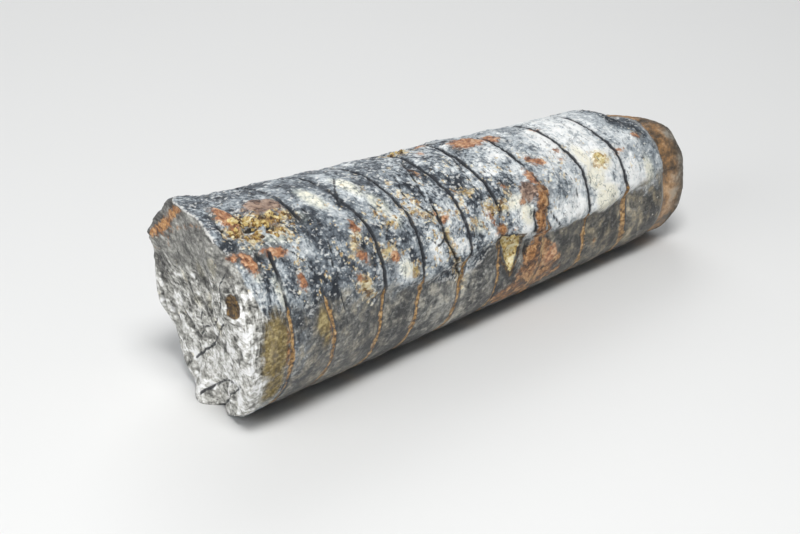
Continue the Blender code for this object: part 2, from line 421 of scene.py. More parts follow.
# Each mark's station, angle, half length, half width and how far it stands proud, and then, where it isn't
# in line with the cone, how far it is turned. They run from the broken end to the domed one.
MARK_ROWS: dict[Stain, tuple[tuple[float, ...], ...]] = {
    Stain.SALMON: (
        (-8.0, 48, 1.2, 0.8, 0.1), (-5.6, 43, 1.4, 2.4, 0.2, 12), (-3.1, 72, 1.9, 3.5, 0.6),
        (0.8, 45, 2.5, 1.1, 0.15, -14), (3.5, 26, 1.0, 1.6, 0.15, 10), (15.9, 19, 0.9, 0.9, 0.1),
        (18.0, 29, 1.0, 1.7, 0.15, 40), (19.1, 45, 1.1, 1.5, 0.15), (25.2, 23, 1.1, 1.2, 0.2),
        (38.2, 38, 0.5, 0.9, 0.1), (39.6, 34, 1.4, 0.6, 0.15, 20), (49.0, 90, 0.9, 0.7, 0.1),
        (50.9, 27, 0.8, 1.0, 0.25), (51.6, 22, 0.6, 0.8, 0.2), (52.6, 101, 2.0, 0.9, 0.15),
        (57.4, 42, 0.6, 0.6, 0.1), (60.2, 29, 0.9, 0.8, 0.3), (60.8, 88, 4.8, 2.0, 0.1),
        (65.4, 42, 1.4, 2.2, 0.3), (66.0, 5, 0.9, 1.6, 0.2), (67.0, 87, 2.4, 1.8, 0.1),
        (68.6, 57, 0.8, 1.4, 0.1), (69.2, -17, 2.2, 1.6, 0.1, 30), (70.4, 52, 2.0, 0.9, 0.15, -10),
        (76.0, 49, 1.2, 0.5, 0.1), (76.6, 57, 1.3, 0.6, 0.1), (78.4, 84, 1.6, 0.8, 0.1),
        (91.6, 43, 1.5, 0.7, 0.1), (99.2, 50, 1.3, 0.9, 0.15),
    ),
    Stain.DUSKY: (
        (5.8, 74.5, 4.4, 2.1, 0.35, -4), (62.2, 34, 2.3, 2.0, 0.45),
    ),
    Stain.RUST: (
        (41.6, 72, 0.5, 2.5, 0.1, 8), (60.4, -38, 8.0, 2.6, 0.0), (62.6, -13, 2.0, 3.2, 0.0),
        (65.4, -24, 7.4, 3.4, 0.1), (65.6, 30, 2.4, 2.2, 0.5), (66.2, -10, 3.6, 2.6, 0.1),
    ),
    Stain.ORANGE: (
        (-1.7, -6, 0.5, 3.6, 0.0), (7.4, 67, 1.0, 0.6, 0.2), (8.4, -2, 0.4, 2.0, 0.0),
        (53.0, 17, 1.8, 1.2, 0.4), (56.4, 14, 1.0, 0.5, 0.2), (82.6, -21, 0.4, 1.2, 0.0, 20),
    ),
    Stain.OCHRE: (
        (-3.8, 62, 1.8, 1.3, 0.2), (-0.8, 56, 2.0, 1.0, 0.1, 20), (-0.4, 69, 3.0, 1.3, 0.2, -8),
        (4.2, 65, 3.2, 1.2, 0.2, -8), (4.4, 57, 1.2, 0.8, 0.1), (8.4, 64, 1.4, 1.2, 0.2),
        (17.2, 36, 1.6, 0.6, 0.1, 50), (17.4, 12, 1.1, 2.1, 0.1, 32), (24.0, 27, 1.4, 0.7, 0.1, 20),
        (27.0, 41, 0.9, 0.6, 0.15), (29.4, 12, 1.1, 1.0, 0.15), (33.8, 43, 1.0, 0.6, 0.1),
        (34.4, 57, 0.5, 0.4, 0.1), (36.2, 38, 1.1, 0.5, 0.1, -20), (46.0, 100, 2.2, 1.1, 0.2),
        (46.4, 27, 0.6, 0.8, 0.1), (48.2, 46, 1.0, 0.4, 0.1), (51.6, 32, 1.1, 1.0, 0.25),
        (54.6, 31, 1.4, 0.8, 0.25), (57.8, 37, 0.5, 0.5, 0.1),
    ),
    Stain.CREAM: (
        (-5.2, 36, 0.7, 0.9, 0.1), (-3.4, 50, 1.6, 0.9, 0.1), (-1.8, 28, 0.9, 1.6, 0.05),
        (-1.6, 22, 0.6, 1.4, 0.1), (1.6, 52, 1.2, 0.9, 0.2), (4.0, 53, 2.4, 1.4, 0.1),
        (10.8, 60, 1.4, 1.0, 0.1), (16.0, 71, 1.6, 3.0, 0.1, 12), (18.6, 7, 0.9, 1.4, 0.1),
        (25.6, 73, 1.4, 2.8, 0.1, 10), (27.0, 15, 1.4, 1.4, 0.25), (28.0, 55, 1.6, 2.4, 0.05, 10),
        (28.8, 41, 1.0, 1.0, 0.2), (47.6, 24, 1.0, 1.2, 0.1), (55.4, 29, 1.2, 0.8, 0.25),
        (58.2, 31, 2.0, 1.2, 0.1), (60.8, 21, 1.8, 1.8, 0.1), (61.4, -38, 1.2, 0.6, 0.0),
        (81.6, 46, 1.4, 2.6, 0.0), (82.4, 30, 2.4, 2.4, 0.0), (84.6, 12, 3.2, 2.6, 0.0),
        (85.6, 40, 2.3, 1.9, 0.25), (98.6, 20, 1.4, 2.8, 0.0),
    ),
    Stain.CHALK: (
        (5.2, 41, 2.4, 1.4, 0.1), (17.0, 67, 2.3, 3.8, 0.1, 12), (25.4, 71, 1.9, 3.8, 0.1, 10),
        (27.2, 13, 2.3, 2.6, 0.25), (31.0, 44, 1.7, 1.4, 0.25), (36.0, 20, 1.8, 2.4, 0.05),
        (41.2, 55, 1.1, 1.3, 0.1), (41.4, 16, 1.4, 1.6, 0.05), (41.8, 45, 1.2, 0.9, 0.1),
        (49.6, 20, 1.4, 2.4, 0.05), (57.2, 59, 1.7, 2.0, 0.1), (58.8, 24, 2.4, 2.0, 0.1),
        (60.2, 13, 2.2, 1.6, 0.1), (61.6, 66, 2.0, 3.2, 0.0), (63.0, 50, 2.0, 1.8, 0.0),
        (73.6, 14, 4.4, 1.6, 0.05), (76.0, 70, 2.6, 4.0, 0.0), (94.8, 17, 3.0, 4.2, 0.0),
        (98.0, 47, 1.4, 1.2, 0.15),
    ),
    Stain.SLATE: (
        (-7.7, 64, 1.2, 1.2, 0.45), (-7.0, 56, 1.6, 3.0, -0.1), (-4.4, 28, 0.9, 3.4, -0.1),
        (-2.6, 40, 1.5, 2.8, -0.1), (-2.4, 47, 1.4, 1.2, -0.3), (10.4, 56, 1.2, 4.4, -0.1, 6),
        (19.6, 36, 1.4, 0.9, -0.2), (21.0, 66, 0.8, 3.6, -0.1), (43.8, 66, 1.0, 4.4, -0.1, 4),
        (48.6, 31, 0.9, 1.6, -0.1), (49.0, 47, 0.9, 2.4, -0.1), (73.0, 30, 1.5, 2.4, 0.0),
        (86.8, 26, 1.6, 1.2, 0.0), (97.2, 41, 2.4, 2.6, 0.0), (100.0, 78, 4.0, 5.4, 0.0),
    ),
    Stain.AMBER: (
        (-4.3, -4, 3.4, 7.4, 0.0), (-3.2, -28, 2.5, 4.8, 0.0), (7.0, 2, 2.4, 3.4, 0.0),
        (7.6, -8, 1.4, 2.8, 0.0),
    ),
    Stain.HONEY: (
        (85.1, 41, 1.5, 1.3, 0.1),
    ),
    # pits, painted near-black as the shade inside them
    Stain.PAINTED_HOLE_SHADE: (
        (-5.6, 66, 0.6, 0.7, -0.5), (0.3, 63, 1.6, 0.7, -0.8), (3.4, 59, 0.8, 0.8, -0.6),
        (38.9, 36, 0.4, 0.5, -0.3), (61.3, -4, 0.8, 1.6, -0.6),
    ),
}
MARKS: tuple[Mark, ...] = tuple(Mark(stain, *row) for stain, group in MARK_ROWS.items() for row in group)


STREAKS: tuple[Streak, ...] = (
    # rust that runs down from the crust
    Streak(Stain.RUST, ((65.2, 28), (64.5, 20), (64.3, 10), (64.6, 0), (64.9, -9)), 1.6, 0.25),
    Streak(Stain.RUST, ((65.2, -9), (64.6, -20), (65.0, -34), (65.6, -52)), 1.6, 0.1),
    Streak(Stain.RUST, ((66.4, -40), (73.0, -34)), 1.0, 0.0),
    # ochre in the fork beside the fifth suture
    Streak(Stain.OCHRE, ((38.9, 27), (39.5, 15), (40.9, 6), (42.8, -5), (43.7, -12)), 0.55, -0.15),
    # edge of the crystal pocket
    Streak(Stain.UMBER, ((52.9, 13), (53.2, 6), (54.5, -7), (57.0, -20)), 0.50, -0.1),
    Streak(Stain.UMBER, ((60.0, 8), (59.5, -4), (57.4, -19)), 0.36, -0.1),
    Streak(Stain.UMBER, ((52.9, 13), (56.0, 11), (60.0, 8)), 0.30, 0.0),
)

POCKET: Points = ((53.1, 13.0), (60.0, 7.0), (57.1, -20.0))      # its three corners
POCKET_DEPTH = 0.45

SEAMS: tuple[Seam, ...] = (
    Seam(((42.7, 84), (40.5, 69), (38.2, 49), (38.9, 38), (38.4, 27), (39.6, 16), (41.4, 5), (42.6, -3)),
         0.4, 0.35),
    Seam(((3.9, 43), (6.6, 30), (8.6, 23), (11.1, 14), (12.3, 3), (12.6, -6)), 0.26, 0.2),
    Seam(((84.7, 58), (85.0, 49), (84.8, 40)), 0.3, 0.2),
    Seam(((36.0, 46), (38.0, 36), (39.0, 26), (39.4, 16), (40.7, 7)), 0.35, 0.3),
    Seam(((66.8, 21), (68.4, 12), (70.4, 3)), 0.3, 0.2),
    Seam(((62.8, 21), (62.5, 13), (63.2, 4)), 0.45, 0.3),
    Seam(((54.0, 84), (52.5, 67), (50.9, 50), (50.5, 37)), 0.35, 0.25),
    Seam(((36.6, 70), (34.9, 59), (34.6, 50)), 0.28, 0.2),
    Seam(((39.9, 53), (38.7, 41)), 0.3, 0.25),
    Seam(((25.6, 84), (22.4, 72), (20.4, 62), (20.2, 54)), 0.3, 0.2),
    Seam(((12.6, 66), (13.6, 52), (12.4, 38), (11.0, 28)), 0.3, 0.2),
    Seam(((33.8, 28), (36.4, 20), (38.4, 24), (40.0, 14)), 0.22, 0.15),
    Seam(((26.4, 40), (24.6, 33), (26.8, 27)), 0.22, 0.15),
    Seam(((45.4, 14), (47.4, 6), (49.6, 9)), 0.22, 0.15),
    Seam(((73.6, 44), (75.6, 32), (76.2, 20)), 0.2, 0.12),
    Seam(((56.0, 60), (57.6, 46), (57.2, 33)), 0.22, 0.15),
    Seam(((14.0, 120), (12.6, 160), (14.4, 200), (13.2, 235)), 0.3, 0.2),
    Seam(((60.0, 118), (62.4, 150), (59.4, 185)), 0.3, 0.2),
    Seam(((28.0, 225), (34.4, 238), (40.0, 232)), 0.25, 0.2),
    Seam(((72.0, 215), (80.0, 230), (86.0, 224)), 0.25, 0.2),
)


# ---------------------------------------------------------------------------------------------
# Modelling and node helpers
# ---------------------------------------------------------------------------------------------


def deselect_all() -> None:
    """Leave nothing selected, so that an operator acts on the new piece alone."""
    if bpy.context.object and bpy.context.object.mode != "OBJECT":
        bpy.ops.object.mode_set(mode="OBJECT")
    bpy.ops.object.select_all(action="DESELECT")


def settle(piece: bpy.types.Object) -> None:
    """Put a piece's place into its mesh, so that its object sits at the origin, unturned."""
    deselect_all()
    piece.select_set(True)
    bpy.context.view_layer.objects.active = piece
    bpy.ops.object.transform_apply(location=True, rotation=True, scale=True)


def gap_to_path(places: np.ndarray, path: np.ndarray) -> np.ndarray:
    """Distance from each place to a line of straight runs.

    Args:
        places: one row of two coordinates each.
        path: the line's points, in the same coordinates.

    Returns:
        One distance for each place.
    """
    gap = np.full(len(places), 1e9)
    for start, end in zip(path, path[1:]):
        run = end - start
        share = np.clip((places - start) @ run / (run @ run), 0.0, 1.0)
        gap = np.minimum(gap, np.linalg.norm(places - start - share[:, None] * run, axis=1))
    return gap


class Wire:
    """A socket of a node. Numbers are added and multiplied as in plain arithmetic."""

    def __init__(self, desk: NodeDesk, socket: bpy.types.NodeSocket) -> None:
        """Hold the socket, and the desk that takes any new node."""
        self.desk = desk
        self.socket = socket

    def __add__(self, other: Feed) -> Wire:
        """Sum of two numbers."""
        return self.desk.maths("ADD", self, other)

    def __sub__(self, other: float) -> Wire:
        """This number less a plain one."""
        return self.desk.maths("ADD", self, -other)

    def __mul__(self, other: Feed) -> Wire:
        """Product of two numbers."""
        return self.desk.maths("MULTIPLY", self, other)

    def __abs__(self) -> Wire:
        """This number without its sign."""
        return self.desk.maths("ABSOLUTE", self, 0.0)

    def rise(self, low: float, high: float) -> Wire:
        """Smooth step from 0 at low to 1 at high, or from 1 to 0 where high is the lower one."""
        feeds = {"Value": self, "From Min": min(low, high), "From Max": max(low, high),
                 "To Min": float(high < low), "To Max": float(high > low)}
        node = self.desk.node("MapRange", feeds, interpolation_type="SMOOTHSTEP")
        return Wire(self.desk, node.outputs["Result"])


Feed = Wire | float | tuple[float, ...]


class NodeDesk:
    """Lays out and joins the nodes of one material."""

    mix_colours = (6, 7)     # sockets of a Mix node that take colours
    mix_result = 2           # and the one that gives a colour

    def __init__(self, name: str) -> None:
        """Make the material with its shader alone.

        Args:
            name: the material's name.
        """
        self.material = bpy.data.materials.new(name)
        self.material.use_nodes = True
        self.tree = self.material.node_tree
        self.shader = self.tree.nodes["Principled BSDF"]
        self.place = Wire(self, self.node("TexCoord", {}).outputs["Object"])

    def feed(self, socket: bpy.types.NodeSocket, value: Feed) -> None:
        """Join a socket to a wire, or set its value. A colour is opaque."""
        if isinstance(value, Wire):
            self.tree.links.new(value.socket, socket)
        elif socket.type == "RGBA":
            socket.default_value = (*value, 1.0)
        else:
            socket.default_value = value

    def node(self, kind: str, feeds: dict[str | int, Feed], **settings: str) -> bpy.types.Node:
        """Make a node.

        Args:
            kind: which node.
            feeds: what goes into its sockets, by their name or number.
            settings: the node's own options.

        Returns:
            The node.
        """
        node = self.tree.nodes.new("ShaderNode" + kind)
        for name, choice in settings.items():
            setattr(node, name, choice)
        for name, value in feeds.items():
            self.feed(node.inputs[name], value)
        return node

    def maths(self, operation: str, first: Feed, second: Feed) -> Wire:
        """One Math node."""
        return Wire(self, self.node("Math", {0: first, 1: second}, operation=operation).outputs[0])

    def vector(self, operation: str, first: Feed, second: Feed) -> Wire:
        """One Vector Math node."""
        return Wire(self, self.node("VectorMath", {0: first, 1: second}, operation=operation).outputs[0])

    def stretched(self, place: Wire, shares: tuple[float, float, float]) -> Wire:
        """A place with each of its axes scaled, so that a pattern read there is drawn out."""
        return self.vector("MULTIPLY", place, shares)

    def pushed(self, place: Wire, push: Wire, reach: float) -> Wire:
        """A place moved along a noise's colour, as far as the reach."""
        return self.vector("ADD", place, self.vector("MULTIPLY", push, (reach, reach, reach)))

    def noise(self, place: Wire, scale: float, detail: float = 4.0, rough: float = 0.55) -> tuple[Wire, Wire]:
        """Noise texture.

        Args:
            place: where it is read.
            scale: swells in each unit of length.
            detail: layers of finer noise.
            rough: strength of the finer layers.

        Returns:
            The value and the colour.
        """
        node = self.node("TexNoise", {"Vector": place, "Scale": scale, "Detail": detail, "Roughness": rough})
        return Wire(self, node.outputs["Fac"]), Wire(self, node.outputs["Color"])

    def cells(self, place: Wire, scale: float) -> tuple[Wire, Wire]:
        """Voronoi cells.

        Args:
            place: where they are read.
            scale: cells in each unit of length.

        Returns:
            The distance from each cell's heart, and a random number for each cell.
        """
        node = self.node("TexVoronoi", {"Vector": place, "Scale": scale})
        split = self.node("SeparateColor", {0: Wire(self, node.outputs["Color"])})
        return Wire(self, node.outputs["Distance"]), Wire(self, split.outputs[0])

    def field(self, name: str) -> Wire:
        """Value of an attribute of the mesh."""
        return Wire(self, self.node("Attribute", {}, attribute_name=name).outputs["Fac"])

    def ramp(self, value: Wire, stops: Stops) -> Wire:
        """Colour ramp, read at a value."""
        node = self.node("ValToRGB", {"Fac": value})
        elements = node.color_ramp.elements
        while len(elements) < len(stops):
            elements.new(0.5)
        for element, (place, colour) in zip(elements, stops):
            element.position = place
            element.color = (*colour, 1.0)
        return Wire(self, node.outputs["Color"])

    def mix(self, share: Feed, first: Feed, second: Feed, blend: str = "MIX") -> Wire:
        """Mix two colours.

        Args:
            share: share of the second.
            first: first colour.
            second: second colour.
            blend: how they mix.

        Returns:
            The mixed colour.
        """
        low, high = self.mix_colours
        feeds = {"Factor": share, low: first, high: second}
        node = self.node("Mix", feeds, data_type="RGBA", blend_type=blend)
        return Wire(self, node.outputs[self.mix_result])

    def tinted(self, share: Wire, colour: Wire, tint: Colour) -> Wire:
        """A colour multiplied by a tint, as far as the share."""
        return self.mix(share, colour, self.mix(1.0, colour, tint, "MULTIPLY"))

    def blend(self, share: Wire, first: Feed, second: Feed) -> Wire:
        """Mix two numbers."""
        return Wire(self, self.node("Mix", {"Factor": share, "A": first, "B": second}).outputs["Result"])

    def bump(self, height: Wire, distance: float, strength: float) -> None:
        """Bump the shader's normal."""
        node = self.node("Bump", {"Distance": distance, "Strength": strength, "Height": height})
        self.feed(self.shader.inputs["Normal"], Wire(self, node.outputs["Normal"]))


# ---------------------------------------------------------------------------------------------
# Finishes
# ---------------------------------------------------------------------------------------------


@dataclass(frozen=True)
class StainFinish:
    """Colours of one kind of mark, and how its edge runs.

    Attributes:
        stops: colours from its darkest grains to its palest.
        ragged: how far its edge wanders, in millimetres.
        cover: how much of the stone it hides.
        halo: how strongly the stone pales round it.
        chunky: share of its shade that coarse grains give.
        feather: width over which its edge fades, in millimetres.
    """

    stops: Stops
    ragged: float = 0.9
    cover: float = 1.0
    halo: float = 0.0
    chunky: float = 0.15
    feather: float = 0.35


STAINS: dict[Stain, StainFinish] = {
    Stain.AMBER: StainFinish(
        ((0.33, (0.060, 0.040, 0.012)), (0.46, (0.150, 0.103, 0.028)), (0.57, (0.26, 0.190, 0.060)),
         (0.70, (0.48, 0.39, 0.18))),
        0.9, 0.93, 0.0, 0.10, 1.4),
    Stain.OCHRE: StainFinish(
        ((0.20, (0.022, 0.012, 0.006)), (0.36, (0.18, 0.088, 0.024)), (0.50, (0.42, 0.27, 0.08)),
         (0.66, (0.58, 0.45, 0.19)), (0.84, (0.78, 0.73, 0.56))),
        1.5, 0.94, 0.2, 0.55),
    Stain.RUST: StainFinish(
        ((0.36, (0.034, 0.014, 0.005)), (0.45, (0.112, 0.045, 0.013)), (0.53, (0.235, 0.098, 0.028)),
         (0.60, (0.40, 0.185, 0.058)), (0.70, (0.62, 0.38, 0.18))),
        1.2, 0.97, 0.0, 0.3, 0.6),
    Stain.ORANGE: StainFinish(
        ((0.34, (0.10, 0.038, 0.012)), (0.50, (0.40, 0.165, 0.046)), (0.66, (0.68, 0.40, 0.17))),
        1.2, 0.93, 0.0, 0.2, 0.6),
    Stain.HONEY: StainFinish(
        ((0.30, (0.090, 0.048, 0.014)), (0.40, (0.40, 0.250, 0.065)), (0.50, (0.68, 0.55, 0.24)),
         (0.62, (0.84, 0.78, 0.55))),
        0.35, 0.97, 0.0, 0.25, 0.3),
    Stain.SALMON: StainFinish(
        ((0.34, (0.085, 0.026, 0.012)), (0.45, (0.31, 0.120, 0.048)), (0.56, (0.51, 0.240, 0.108)),
         (0.68, (0.72, 0.47, 0.28))),
        1.25, 0.93, 0.12, 0.2, 0.45),
    Stain.DUSKY: StainFinish(
        ((0.36, (0.050, 0.026, 0.018)), (0.48, (0.195, 0.115, 0.079)), (0.66, (0.44, 0.31, 0.23))),
        1.2, 0.94, 0.0, 0.3, 0.6),
    Stain.UMBER: StainFinish(
        ((0.36, (0.014, 0.007, 0.003)), (0.50, (0.080, 0.042, 0.012)), (0.64, (0.25, 0.15, 0.045))),
        0.25, 0.97, 0.0, 0.0, 0.22),
    # painted shade inside the pits
    Stain.PAINTED_HOLE_SHADE: StainFinish(
        ((0.36, (0.006, 0.006, 0.007)), (0.64, (0.06, 0.055, 0.045))), 0.8, 0.95),
}

class StoneDesk(NodeDesk):
    """The stone's nodes, with the noises that all its colours are mixed from. Places are in millimetres."""

    def __init__(self) -> None:
        """Lay out the noises, from the broadest to the finest."""
        super().__init__("stone")
        metres = self.place
        self.place = self.stretched(metres, (1.0 / MM, 1.0 / MM, 1.0 / MM))
        _, drift = self.noise(self.place, 0.28, 3.0)
        self.warped = self.pushed(self.place, self.vector("SUBTRACT", drift, (0.5, 0.5, 0.5)), 1.8)
        streaked = self.stretched(self.warped, (1.05, 0.98, 0.98))
        self.broad, _ = self.noise(streaked, 0.15, 3.0, 0.5)
        self.coarse, _ = self.noise(streaked, 0.42, 4.0, 0.6)
        grainy = self.stretched(self.place, (0.78, 1.05, 1.05))
        self.fine, jostle = self.noise(grainy, 1.5, 4.0, 0.60)
        small, self.grain = self.cells(self.pushed(grainy, jostle, 0.9), 2.2)
        large, self.chunk = self.cells(self.pushed(grainy, jostle, 2.0), 0.95)
        self.rounds = (large - 0.47) * -0.24 + (small - 0.47) * -0.18
        fibres, _ = self.noise(self.stretched(self.place, (2.6, 0.35, 0.35)), 0.8, 4.0, 0.6)
        self.strands = (fibres - 0.5) * (self.field("fibrous") * 0.5)
        self.creamy = self.field("cream").rise(-0.9, 0.6)

    def mixed(self, broad: float, coarse: float, fine: float, grain: float, chunk: float) -> Wire:
        """Sum of the noises, each at its own share, and the roundness of the grains, about nought."""
        wide = self.broad * broad + self.coarse * coarse
        sharp = self.fine * fine + self.grain * grain
        whole = broad + coarse + fine + grain + chunk
        return wide + sharp + self.chunk * chunk + self.rounds * fine - 0.5 * whole


@dataclass(frozen=True)
class StoneFinish:
    """Black limestone with white calcite, orange iron in its seams and a polished lower side."""

    rough: float = 0.66
    polished: float = 0.40
    bump_height: float = 0.00026
    broken_ramp: Stops = (
        (0.370, (0.013, 0.018, 0.025)),
        (0.415, (0.062, 0.074, 0.090)),
        (0.460, (0.150, 0.175, 0.198)),
        (0.500, (0.275, 0.310, 0.336)),
        (0.555, (0.475, 0.515, 0.54)),
        (0.605, (0.69, 0.725, 0.735)),
        (0.670, (0.93, 0.94, 0.925)),
    )
    polished_ramp: Stops = (
        (0.350, (0.018, 0.019, 0.020)),
        (0.425, (0.062, 0.064, 0.063)),
        (0.475, (0.112, 0.113, 0.107)),
        (0.510, (0.154, 0.155, 0.145)),
        (0.550, (0.22, 0.222, 0.205)),
        (0.610, (0.34, 0.34, 0.315)),
        (0.700, (0.54, 0.535, 0.49)),
    )
    face_ramp: Stops = (
        (0.350, (0.040, 0.039, 0.037)),
        (0.410, (0.135, 0.133, 0.124)),
        (0.465, (0.290, 0.286, 0.262)),
        (0.515, (0.48, 0.475, 0.44)),
        (0.575, (0.76, 0.755, 0.73)),
        (0.630, (0.96, 0.96, 0.96)),
    )
    seam_orange: Stops = (
        (0.36, (0.065, 0.030, 0.012)), (0.46, (0.24, 0.125, 0.038)), (0.56, (0.45, 0.265, 0.092)),
        (0.68, (0.68, 0.50, 0.29)),
    )
    # near-black of the cracks, of the grooves' dark middle lines and of the painted shade beside the grooves
    seam_black: Colour = (0.014, 0.017, 0.023)
    wisp_black: Colour = (0.030, 0.038, 0.050)
    # pale line along the ledge's edge: partly chipped stone, partly a painted highlight
    chip_and_highlight: Colour = (0.62, 0.61, 0.58)
    # pale specks on grains that are also glossier: partly white calcite, partly painted glints
    pale_speck_and_glint: Colour = (0.86, 0.86, 0.83)
    halo: Colour = (0.78, 0.74, 0.62)
    # pale rim of the broken end: partly edge wear, partly a painted highlight
    rim: Colour = (0.72, 0.71, 0.68)
    lip: Colour = (0.42, 0.42, 0.40)
    # tint of the painted shade in the relief's hollows
    hollow: Colour = (0.22, 0.22, 0.24)
    specks: Stops = (
        (0.36, (0.24, 0.12, 0.045)), (0.47, (0.58, 0.38, 0.14)), (0.56, (0.82, 0.74, 0.50)),
        (0.64, (0.92, 0.90, 0.82)),
    )
    creamy: Colour = (1.0, 0.95, 0.78)
    earthy: Colour = (1.0, 0.84, 0.60)
    band: Stops = (
        (0.36, (0.050, 0.036, 0.022)), (0.47, (0.17, 0.105, 0.055)), (0.56, (0.34, 0.185, 0.075)),
        (0.66, (0.56, 0.36, 0.20)),
    )
    dome: Stops = (
        (0.36, (0.055, 0.048, 0.038)), (0.50, (0.15, 0.130, 0.102)), (0.64, (0.32, 0.29, 0.24)),
    )
    def build(self) -> bpy.types.Material:
        """Make the stone's material.

        Returns:
            The material.
        """
        desk = StoneDesk()
        colour = self._side(desk)
        for coat in (self._broken_end, self._marks, self._far_end, self._seams, self._hollows):
            colour = coat(desk, colour)
        desk.feed(desk.shader.inputs["Base Color"], colour)
        self._surface(desk)
        return desk.material

    def _side(self, desk: StoneDesk) -> Wire:
        """Bare rock of the side: broken above the ledge, polished below it, with a pale line along the
        ledge's edge that is partly chipped stone and partly a painted highlight.

        Args:
            desk: the stone's nodes.

        Returns:
            The rock's colour.
        """
        drawn = desk.stretched(desk.warped, (1.25, 0.75, 0.75))
        thread = abs(desk.noise(drawn, 0.62, 4.0, 0.55)[0] - 0.5)
        edge = desk.field("lowness") + (desk.coarse - 0.5) * 3.6
        below = edge.rise(-0.6, 0.9)
        colour = desk.mix(below, self._broken(desk, thread), self._polished(desk, thread))
        # pale specks on the glossier grains: partly white calcite, partly painted glints
        specks = (desk.grain + desk.fine).rise(1.36, 1.42) * 0.5 * desk.blend(below, 1.0, 0.15)
        colour = desk.mix(specks, colour, self.pale_speck_and_glint)
        # pale line along the ledge's edge: partly chipped stone, partly a painted highlight
        ledge_chips_and_highlight = abs(edge + 0.2).rise(0.5, 0.1) * desk.field("ledge_chips_and_highlight")
        return desk.mix(ledge_chips_and_highlight * desk.fine.rise(0.46, 0.56), colour, self.chip_and_highlight)

    def _broken(self, desk: StoneDesk, thread: Wire) -> Wire:
        """Broken rock: black and white mottling, drawn into threads, with patches of other stone.

        Args:
            desk: the stone's nodes.
            thread: distance from the nearest thread.

        Returns:
            The rock's colour.
        """
        contrast = desk.field("contrast")
        chalky = desk.field("chalk").rise(-1.2, 0.9)
        slaty = desk.field("slate").rise(-1.0, 0.6)
        value = desk.mixed(0.18, 0.52, 0.36, 0.05, 0.07) * contrast + (desk.broad - 0.5) * 0.17
        value = value + (desk.field("tone") + 0.5 + desk.strands)
        value = value + (chalky * 0.095 + desk.creamy * 0.075) + slaty * -0.055
        value = value + (thread.rise(0.07, 0.0) * contrast * -0.06 + 0.018)
        wisps = thread.rise(0.022, 0.004) * desk.coarse.rise(0.58, 0.46)
        colour = desk.mix(wisps * 0.7, desk.ramp(value, self.broken_ramp), self.wisp_black)
        return desk.tinted(desk.creamy * 0.8, colour, self.creamy)

    def _polished(self, desk: StoneDesk, thread: Wire) -> Wire:
        """Polished rock: mid grey, calmer and browner towards both ends.

        Args:
            desk: the stone's nodes.
            thread: distance from the nearest thread.

        Returns:
            The rock's colour.
        """
        calm, earth = desk.field("calm"), desk.field("earth")
        calmer = desk.blend(earth * 1.8, desk.mixed(0.34, 0.58, 0.42, 0.06, 0.05),
                            desk.mixed(0.52, 0.86, 0.16, 0.02, 0.03))
        value = desk.blend(calm, desk.mixed(0.50, 0.84, 0.46, 0.05, 0.06), calmer) + 0.5
        value = value + desk.rounds * -0.42 + (desk.field("dim") + desk.strands * 0.6)
        value = value + thread.rise(0.06, 0.0) * desk.blend(calm, -0.05, -0.02)
        earthy = desk.coarse.rise(0.46, 0.60) * desk.blend(calm, 0.25, 0.45) + calm * earth
        return desk.tinted(earthy, desk.ramp(value, self.polished_ramp), self.earthy)

    def _broken_end(self, desk: StoneDesk, colour: Wire) -> Wire:
        """Bare rock of the broken end, whiter and grainier, with a pale rim at the top that is partly edge
        wear and partly a painted highlight.

        Args:
            desk: the stone's nodes.
            colour: colour of the side's rock.

        Returns:
            The colour with the broken end.
        """
        across = desk.stretched(desk.place, (1.0, 0.6, 1.0))
        mottled, push = desk.noise(across, 0.40, 4.0, 0.6)
        grit, _ = desk.noise(across, 1.7, 4.0, 0.60)
        pushed = desk.pushed(across, push, 1.6)
        _, facet = desk.cells(pushed, 0.62)
        shape, chip = desk.cells(pushed, 1.5)
        facets = (facet - 0.5) * 0.08 + (chip - 0.5) * 0.08 + (shape - 0.47) * -0.09
        value = ((mottled - 0.5) * 0.62 + (grit - 0.5) * 0.42 + facets) * desk.field("coarseness")
        value = value + (desk.field("face_tone") + 0.5) + (desk.strands + desk.creamy * 0.03)
        face = desk.tinted(desk.creamy * 0.7, desk.ramp(value, self.face_ramp), self.creamy)
        inward = desk.field("facing") + (desk.fine - 0.5) * 1.2
        # pale rim along the top of the broken end: partly edge wear, partly a painted highlight
        rim_wear_and_highlight = desk.field("rim_wear_and_highlight") + (desk.fine - 0.5) * 1.3
        colour = desk.mix(inward.rise(-0.5, 0.5), colour, face)
        return desk.mix(rim_wear_and_highlight.rise(0.0, 0.25) * 0.75, colour, self.rim)

